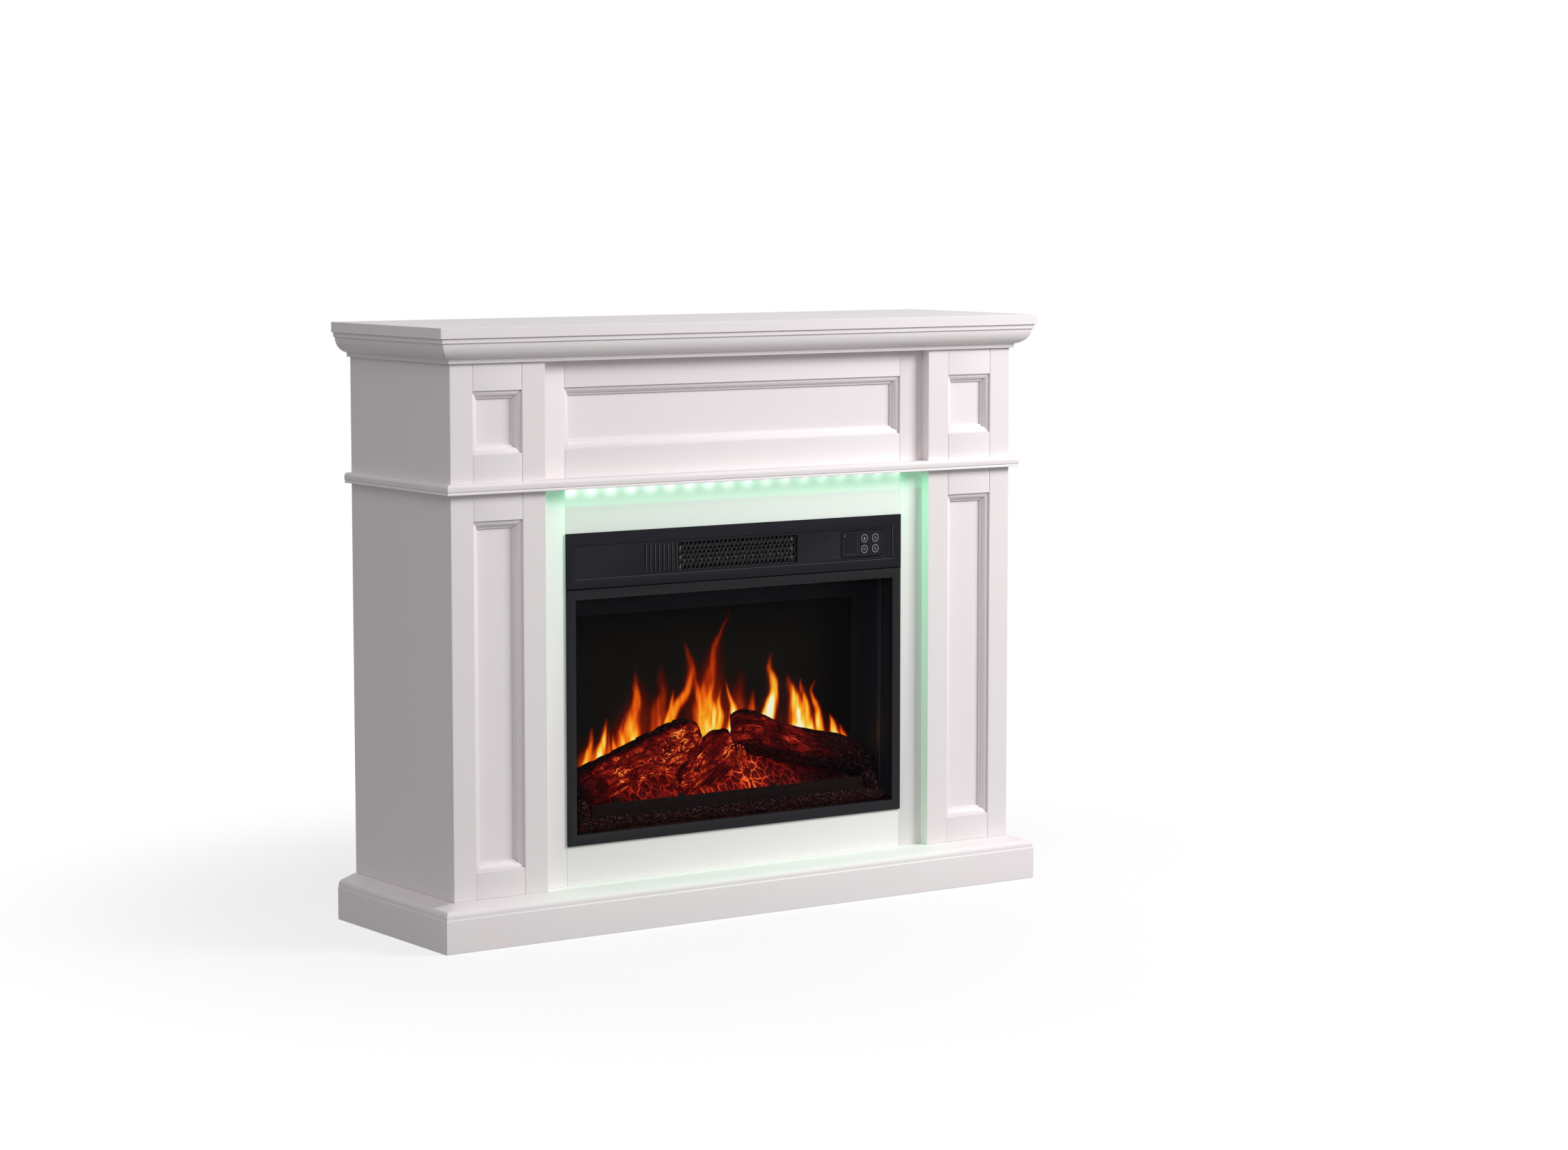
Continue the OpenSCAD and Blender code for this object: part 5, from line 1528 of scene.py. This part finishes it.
@dataclass(frozen=True)
class LogSet:
    """The logs, the splinters between them, the ember bed and the dark log in front."""

    right_bark: Resin = Resin("log_right", "log_resin", tilt=-0.2, vein=0.40, cell=6.5 * MM, stretch=3.2,
                              ash_and_glints=0.50)
    striped: Resin = Resin("log_stripes", "log_resin", tilt=0.55, stretch=5.0, vein=0.62)
    char: Resin = Resin("log_char", "log_resin", (0.0095, 0.0034, 0.0036), (0.03, 0.003, 0.003),
                        cell=6.5 * MM, stretch=1.3, vein=0.25, depth=1.4 * MM, strength=0.6,
                        glint=(0.24, 0.17, 0.18))
    coals: Coals = Coals("coals", "log_resin")

    left: Branch = Branch(
        "left_log", Spline(((-266, -68, 184, 26), (-232, -66, 196, 31), (-160, -63, 221, 31),
                            (-108, -62, 237, 32), (-64, -62, 249, 33), (-46, -62, 250, 27))),
        Bark(seed=3.1), 190, 150, 1.22, (0.07, 0.36, 0.90, 1.05), burl=0.60, under=0.14, shade=0.18)
    right: Branch = Branch(
        "right_log", Spline(((25, -62, 251, 32), (50, -62, 254, 33), (84, -63, 241, 31),
                             (140, -64, 223, 30), (212, -68, 208, 29), (262, -76, 182, 20))),
        Bark(seed=8.4, stretch=2.6), 200, 150, 0.82, (-0.10, 0.02, 0.42, 0.92), slant=0.74, shade=0.80)
    middle: Branch = Branch(
        "middle_log", Spline(((17, -58, 238, 24), (0, -61, 232, 29), (-42, -70, 207, 27),
                              (-78, -82, 188, 20))),
        Bark(seed=5.7, cell=10.0, stretch=4.5), 80, 110, 0.98, (0.02, 0.25, 1.1, 1.2), shade=0.4)
    low: Branch = Branch(
        "low_log", Spline(((18, -60, 216, 16), (-10, -76, 204, 15), (-40, -86, 190, 11))),
        Bark(seed=2.2, cell=8.0, stretch=4.0, lump=1.2), 60, 64, 0.6)
    splinters: tuple[tuple[int, int], ...] = ((5, 20), (11, 27), (17, 34), (24, 42))
    dark: tuple[Branch, ...] = (
        Branch("front_log", Spline(((-267, -101, 147, 11), (-120, -101, 148, 11), (0, -101, 147, 11),
                                    (120, -101, 148, 11), (267, -101, 147, 11))),
               Bark(seed=1.3, cell=8.0, stretch=1.6, lump=1.6), 400, 56, 0.15, flat=0.66),
        Branch("left_foot", Spline(((-246, -62, 206, 20), (-252, -78, 182, 15), (-254, -90, 160, 13),
                                    (-254, -96, 144, 9))),
               Bark(seed=6.3, cell=9.0), 60, 70, 0.12),
        Branch("right_foot", Spline(((240, -66, 200, 22), (250, -78, 180, 17), (254, -90, 160, 13),
                                     (254, -96, 144, 9))),
               Bark(seed=7.9, cell=9.0), 60, 70, 0.08))

    def build(self) -> None:
        """Make every log and the bed."""
        glowing = ((self.left, LEFT_BARK), (self.right, self.right_bark), (self.middle, self.striped),
                   (self.low, self.striped))
        for branch, finish in glowing:
            branch.build(finish)
        for index, (top, foot) in enumerate(self.splinters):
            self.splinter(index, top, foot).build(self.striped)
        for branch in self.dark:
            branch.build(self.char)
        EmberBed().build(self.coals)
        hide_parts("log_set")

    @staticmethod
    def splinter(index: int, top: int, foot: int) -> Branch:
        """Return a thin splinter that leans on the logs; each is a little lower than the last."""
        knots = ((top, -86, 258 - 5 * index, 2.4), (top + 4, -90, 232 - 3 * index, 3.4),
                 (foot, -90, 200 - 4 * index, 2.6))
        bark = Bark(seed=index, cell=6.0, stretch=5.0, lump=0.7, ridge=0.7)
        return Branch(f"splinter_{index}", Spline(knots), bark, 40, 24, 0.86, (0.0, 0.25, 1.1, 1.2))


# ---------------------------------------------------------------- flames


@dataclass(frozen=True)
class Tongue:
    """One tongue of flame: x, z and half its width at each knot, in millimetres.

    Its power is how hot it is, its core how much paler its middle is, and its veil how dense.
    """

    knots: tuple[tuple[float, float, float], ...]
    power: float = 0.7
    core: float = 0.3
    veil: float = 1.0
    halo: float = 1.75

    def layers(self, away: float, share: float, streak: float) -> Iterator[tuple[float, float, float]]:
        """Give the halo and the body of the tongue at one point.

        Args:
            away: How far the point is from the tongue's middle line, of 1 at its edge.
            share: The share of the tongue's length there.
            streak: How much hotter the streak there is.

        Returns:
            The density, the heat and how much of what is behind it hides, of each layer.
        """
        if away < self.halo:
            veil = 0.38 * self.veil * (1.0 - away / self.halo) ** 1.6 * (1.0 - share ** 1.5)
            yield veil, 0.30 * self.power, veil
        if away < 1.0:
            body = (1.0 - away * away) ** 1.6
            core = math.exp(-(away / 0.45) ** 2)
            heat = self.power * (0.16 + 0.84 * body) * (1.62 - 1.30 * share) * (1.0 + 0.45 * streak)
            heat = max(heat + self.core * core * (1.0 - share) ** 1.2 * 0.55, 0.02)
            dense = min(1.0, self.veil * body * 1.75 * (1.0 - share ** 2.2))
            yield dense, heat, 0.97 * dense


@dataclass(frozen=True)
class Flames:
    """The tongues of light on the smoked screen, laid out in millimetres on one fine sheet."""

    fire: Fire = Fire("flame_light_sheet", "flame_glow")
    depth: float = -30.0 * MM
    low: tuple[float, float] = (-232.0, 196.0)
    high: tuple[float, float] = (264.0, 442.0)
    step: float = 1.6
    samples: int = 70
    widen: float = 1.28
    thinnest: float = 0.8
    far_x: float = 60.0
    far_z: float = 40.0
    faintest: float = 0.004
    tongues: tuple[Tongue, ...] = (
        Tongue(((-214, 200, 9), (-209, 222, 9), (-203, 246, 6), (-198, 277, 1)), 0.75, 0.5),
        Tongue(((-194, 205, 10), (-186, 232, 9), (-179, 262, 5), (-175, 289, 1)), 0.72, 0.45),
        Tongue(((-176, 212, 8), (-171, 240, 6), (-170, 258, 4), (-169, 277, 1)), 0.42, 0.0, 0.7),
        Tongue(((-144, 208, 30), (-140, 232, 25), (-134, 258, 20), (-128, 285, 14), (-122, 312, 9),
                (-125, 335, 5), (-127, 360, 1)), 0.6, 0.1),
        Tongue(((-128, 212, 11), (-127, 240, 9), (-124, 265, 7), (-121, 292, 3)), 0.74, 0.5),
        Tongue(((-150, 218, 9), (-157, 238, 7), (-161, 252, 4), (-163, 268, 1)), 0.6, 0.2),
        Tongue(((-144, 240, 8), (-148, 258, 6), (-150, 270, 4), (-146, 290, 1)), 0.55, 0.1),
        Tongue(((-86, 248, 21), (-86, 275, 20), (-84, 296, 16), (-76, 314, 12), (-80, 338, 8),
                (-77, 361, 2)), 0.24, 0.0, 0.65),
        Tongue(((-82, 232, 11), (-76, 258, 9), (-68, 280, 7), (-60, 303, 4), (-58, 322, 1)), 0.72, 0.45),
        Tongue(((-74, 250, 11), (-64, 278, 10), (-54, 294, 10), (-42, 307, 9), (-30, 326, 9), (-28, 350, 8),
                (-33, 375, 5), (-42, 393, 1)), 0.46, 0.0, 0.9),
        Tongue(((4, 235, 27), (0, 265, 24), (-3, 292, 20), (2, 318, 15), (6, 342, 10),
                (9, 364, 4)), 0.56, 0.0),
        Tongue(((4, 318, 13), (8, 345, 10), (12, 368, 7.5), (18, 388, 5.5), (29, 408, 4), (37, 420, 3),
                (41, 437, 1)), 0.24, 0.0, 0.6),
        Tongue(((14, 240, 50), (4, 285, 44), (6, 325, 30), (14, 362, 16), (24, 400, 6)), 0.2, 0.0, 0.42),
        Tongue(((-132, 215, 44), (-132, 255, 34), (-118, 300, 22), (-122, 340, 8)), 0.22, 0.0, 0.45),
        Tongue(((-6, 282, 10), (-14, 306, 8), (-20, 330, 5), (-23, 356, 1)), 0.48, 0.0, 0.9),
        Tongue(((6, 228, 14), (12, 254, 12), (13, 276, 10), (6, 302, 8), (11, 330, 6),
                (8, 363, 1)), 0.7, 0.45),
        Tongue(((20, 250, 9), (24, 275, 7), (20, 298, 5), (25, 318, 1)), 0.62, 0.3),
        Tongue(((43, 240, 12), (47, 266, 10), (45, 288, 7), (39, 306, 4), (34, 328, 1)), 0.7, 0.45),
        Tongue(((60, 256, 20), (58, 280, 18), (56, 300, 14), (60, 322, 9), (62, 346, 3)), 0.2, 0.0, 0.5),
        Tongue(((76, 256, 11), (79, 280, 8), (81, 296, 5), (82, 313, 1)), 0.3, 0.0, 0.7),
        Tongue(((100, 240, 15), (107, 262, 14), (115, 284, 12), (120, 302, 10), (118, 322, 8),
                (112, 340, 6), (116, 365, 1)), 0.74, 0.55),
        Tongue(((172, 226, 27), (168, 250, 23), (164, 274, 17), (157, 294, 12), (149, 312, 7),
                (143, 329, 1)), 0.68, 0.2),
        Tongue(((168, 226, 14), (165, 250, 12), (163, 272, 8), (160, 292, 3)), 1.0, 1.0),
        Tongue(((186, 228, 14), (182, 254, 11), (178, 276, 9), (171, 300, 5), (167, 322, 1)), 0.66, 0.25),
        Tongue(((206, 226, 10), (202, 250, 8), (199, 272, 6), (191, 290, 4), (188, 304, 3),
                (199, 320, 1)), 0.52, 0.1),
        Tongue(((234, 218, 12), (230, 236, 9), (226, 250, 5), (220, 264, 1)), 0.62, 0.3),
        Tongue(((248, 216, 9), (246, 228, 6), (241, 247, 1)), 0.5, 0.1),
        Tongue(((-200, 222, 26), (-150, 226, 26), (-60, 238, 26), (60, 242, 28), (160, 232, 26),
                (235, 222, 22)), 0.34, 0.0, 0.55),
    )

    def build(self) -> None:
        """Make one fine sheet that keeps the heat of each point, and cut away what stays dark."""
        shape = Shape()
        wide, tall = self.high[0] - self.low[0], self.high[1] - self.low[1]
        bmesh.ops.create_grid(shape.mesh, x_segments=int(wide / self.step), y_segments=int(tall / self.step),
                              size=0.5)
        layer = shape.layer("fire")
        lines = [(tongue, self.points(tongue)) for tongue in self.tongues]
        dark = set()
        for vert in shape.mesh.verts:
            x, z = self.low[0] + (vert.co.x + 0.5) * wide, self.low[1] + (vert.co.y + 0.5) * tall
            heat, dense = self.glow(x, z, lines)
            vert[layer] = Vector((heat, dense, 0.0))
            vert.co = Vector((x * MM, self.depth, z * MM))
            if dense < self.faintest:
                dark.add(vert)
        gone = [face for face in shape.mesh.faces if all(vert in dark for vert in face.verts)]
        bmesh.ops.delete(shape.mesh, geom=gone, context="FACES")
        shape.outward().piece("flame_sheet", CABINET, self.fire)

    def points(self, tongue: Tongue) -> list[tuple[float, ...]]:
        """Return points along a tongue: x, z, half its width and the share of its length."""
        line = Spline(tongue.knots)
        return [(*line.at(step / self.samples), step / self.samples) for step in range(self.samples + 1)]

    def nearest(self, x: float, z: float, bend: float, line: list[tuple[float, ...]]) -> tuple[float, float]:
        """Find where a tongue is nearest to a point.

        Args:
            x: The point's x.
            z: The point's z.
            bend: How far the air pushes the tongue sideways there.
            line: The points along the tongue.

        Returns:
            How far its middle line is, of 1 at its edge, and the share of its length there.
        """
        best, share = math.inf, 0.0
        for px, pz, half, place in line:
            if abs(pz - z) < self.far_z and abs(px - x) < self.far_x:
                away = math.hypot(px - x - bend, pz - z) / max(half * self.widen, self.thinnest)
                if away < best:
                    best, share = away, place
        return best, share

    def glow(self, x: float, z: float, lines: list[tuple[Tongue, list]]) -> tuple[float, float]:
        """Add up the tongues at one point.

        Args:
            x: The point's x.
            z: The point's z.
            lines: Each tongue with the points along it.

        Returns:
            The heat and the density there, each from 0 to 1.
        """
        bend = 2.6 * self.gust(x, z, 0.0, 14.0, 30.0) + 0.9 * self.gust(x, z, 4.0, 5.0, 13.0)
        streak = self.gust(x, z, 9.0, 8.0, 34.0) + 0.5 * self.gust(x, z, 2.0, 3.5, 20.0)
        heat, weight, clear = 0.0, 0.0, 1.0
        for tongue, line in lines:
            away, share = self.nearest(x, z, bend, line)
            for dense, level, hidden in tongue.layers(away, share, streak):
                heat += dense * level ** 3
                weight += dense * level ** 2
                clear *= 1.0 - hidden
        return (min(heat / weight, 1.0), 1.0 - clear) if weight > 0.0 else (0.0, 0.0)

    @staticmethod
    def gust(x: float, z: float, slice_y: float, wide: float, tall: float) -> float:
        """Return a wave from -1 to 1 whose swells are so wide and tall."""
        return noise.noise(Vector((x / wide, slice_y, z / tall)))


# ---------------------------------------------------------------- what stays as packed


FINISHES: dict[str, Finish] = {finish.slot: finish for finish in (
    SATIN_WHITE, BLACK_COAT, CONTROL_CASE, DISPLAY_GLOSS, BUTTON_CAP, LEFT_BARK, GRATE_BLACK,
    BareBoard("bare_chipboard", "bare_board"),
    Metal("zinc_plate", "zinc_steel", (0.62, 0.63, 0.64), 0.30),
    ClearGlass("window_glass", "clear_glass"),
    PowderCoat("grille_black", "grille_steel", (0.0042, 0.0042, 0.0052), 0.45, 0.06),
    CircuitBoard("lacquered_board", "circuit_board"),
    SmokedScreen("smoked_screen_sheet", "smoked_screen"),
    Metal("bright_foil", "polished_foil", (0.86, 0.86, 0.87), 0.10),
    Metal("motor_can", "motor_casing", (0.46, 0.46, 0.48), 0.36),
    Plastic("black_moulding", "black_plastic", (0.020, 0.020, 0.022), 0.45),
    Metal("galvanised", "galvanised_sheet", (0.58, 0.60, 0.62), 0.34, 0.75),
    Metal("fan_aluminium", "blower_aluminium", (0.76, 0.77, 0.78), 0.28),
    HeaterFins("fin_metal", "heater_fins"),
    Plastic("gland_black", "gland_rubber", (0.016, 0.016, 0.016), 0.62),
    LightChips("green_chips", "green_light"),
    LightChips("amber_chips", "flame_light", (1.0, 0.45, 0.10), 0.0, 1.0, 1.2),
)}


def paint_nodes() -> None:
    """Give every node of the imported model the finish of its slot."""
    for part in frame["record"]["subparts"]:
        finish = FINISHES[part["material_slot"]]
        node = frame["nodes"][part["node"]]
        if not node.material_slots:
            node.data.materials.append(None)
        for slot in node.material_slots:
            slot.material = finish.material()
        log.info("%s: %s", part["node"], finish.name)


# ---------------------------------------------------------------- the studio


@dataclass(frozen=True)
class Lamp:
    """A square soft lamp: where it hangs, the point that it faces, its watts and its side."""

    name: str
    spot: Point
    target: Point
    power: float
    size: float = 1.2

    def hang(self) -> None:
        """Put the lamp in the scene."""
        data = bpy.data.lights.new(self.name, "AREA")
        data.energy = self.power
        data.size = self.size
        lamp = bpy.data.objects.new(self.name, data)
        bpy.context.scene.collection.objects.link(lamp)
        lamp.location = self.spot
        lamp.rotation_euler = (Vector(self.target) - Vector(self.spot)).to_track_quat("-Z", "Y").to_euler()


@dataclass
class Studio:
    """The camera, the lamps, the pale floor and the white room around it."""

    eye: Point = (-3.005, -4.5545, 1.0408)
    gaze: Point = (0.5676, 0.8170, -0.1018)
    lens: float = 85.39
    sensor: float = 36.0
    ambient: float = 0.35
    lamps: tuple[Lamp, ...] = (
        Lamp("key", (2.15, -1.85, 1.95), (0.0, -0.1, 0.45), 80.0),
        Lamp("fill", (-1.5, -1.7, 1.9), (-0.3, -0.1, 0.6), 10.0))
    floor_radius: float = 9.0
    floor_sides: int = 96
    floor_low: Colour = (0.95, 0.95, 0.95)
    floor_high: Colour = (0.99, 0.99, 0.99)
    floor_speck: float = 40.0
    floor_glow: float = 0.15
    least_white: float = 0.74
    white_from: float = 0.55
    white_to: float = 1.15

    def build(self) -> None:
        """Set up everything around the object."""
        scene = bpy.context.scene
        scene.view_settings.view_transform = "Standard"
        self.camera(scene)
        self.world(scene)
        self.floor()
        for lamp in self.lamps:
            lamp.hang()

    def camera(self, scene: bpy.types.Scene) -> None:
        """Place the camera."""
        data = bpy.data.cameras.new("camera")
        data.lens = self.lens
        data.sensor_width = self.sensor
        data.sensor_fit = "HORIZONTAL"
        camera = bpy.data.objects.new("camera", data)
        scene.collection.objects.link(camera)
        camera.location = self.eye
        camera.rotation_euler = Vector(self.gaze).to_track_quat("-Z", "Y").to_euler()
        scene.camera = camera

    def world(self, scene: bpy.types.Scene) -> None:
        """Show white to the camera and in gloss, and light the rest softly."""
        scene.world = bpy.data.worlds.new("room")
        web = Web(scene.world)
        room = web.value("Background", values={"Color": WHITE, "Strength": self.white(web, self.ambient)})
        web.node("OutputWorld", values={"Surface": room})

    @staticmethod
    def white(web: Web, others: float) -> Value:
        """Return 1 for rays from the camera, off gloss or through glass, and less for others."""
        path = web.node("LightPath")
        names = ("Is Camera Ray", "Is Glossy Ray", "Is Transmission Ray")
        camera, glossy, through = (Value(web, path.outputs[name]) for name in names)
        return others + (camera + glossy + through).clamp() * (1.0 - others)

    def floor(self) -> None:
        """Lay a pale floor that keeps the shadow and fades to white around it."""
        mesh = bmesh.new()
        bmesh.ops.create_circle(mesh, cap_ends=True, segments=self.floor_sides, radius=self.floor_radius)
        data = bpy.data.meshes.new("floor")
        mesh.to_mesh(data)
        mesh.free()
        floor = bpy.data.objects.new("floor", data)
        bpy.context.scene.collection.objects.link(floor)
        material = bpy.data.materials.new("pale_floor")
        web = Web(material)
        spot = web.place()
        x, y, _ = web.split(spot)
        away = (x * x + y * y) ** 0.5
        far = self.least_white + (1.0 - self.least_white) * away.step(self.white_from, self.white_to)
        speck = web.noise(spot, self.floor_speck, 4.0)
        near = web.value("BsdfPrincipled", values={
            "Base Color": web.blend(speck, self.floor_low, self.floor_high), "Roughness": 0.9,
            "Specular IOR Level": 0.1})
        white = web.value("Emission", values={"Color": WHITE, "Strength": self.white(web, self.floor_glow)})
        mixed = web.value("MixShader", values={0: far, 1: near, 2: white})
        web.node("OutputMaterial", values={"Surface": mixed})
        data.materials.append(material)


def main() -> None:
    """Build the scene."""
    logging.basicConfig(level=logging.INFO, format="%(message)s")
    noise.seed_set(SEED)
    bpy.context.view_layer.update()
    Studio().build()
    paint_nodes()
    for part in (Mantel(), InsertFront(), Controls(), LogSet(), Flames()):
        part.build()
        log.info("%s is built", type(part).__name__)


if __name__ == "__main__":
    main()
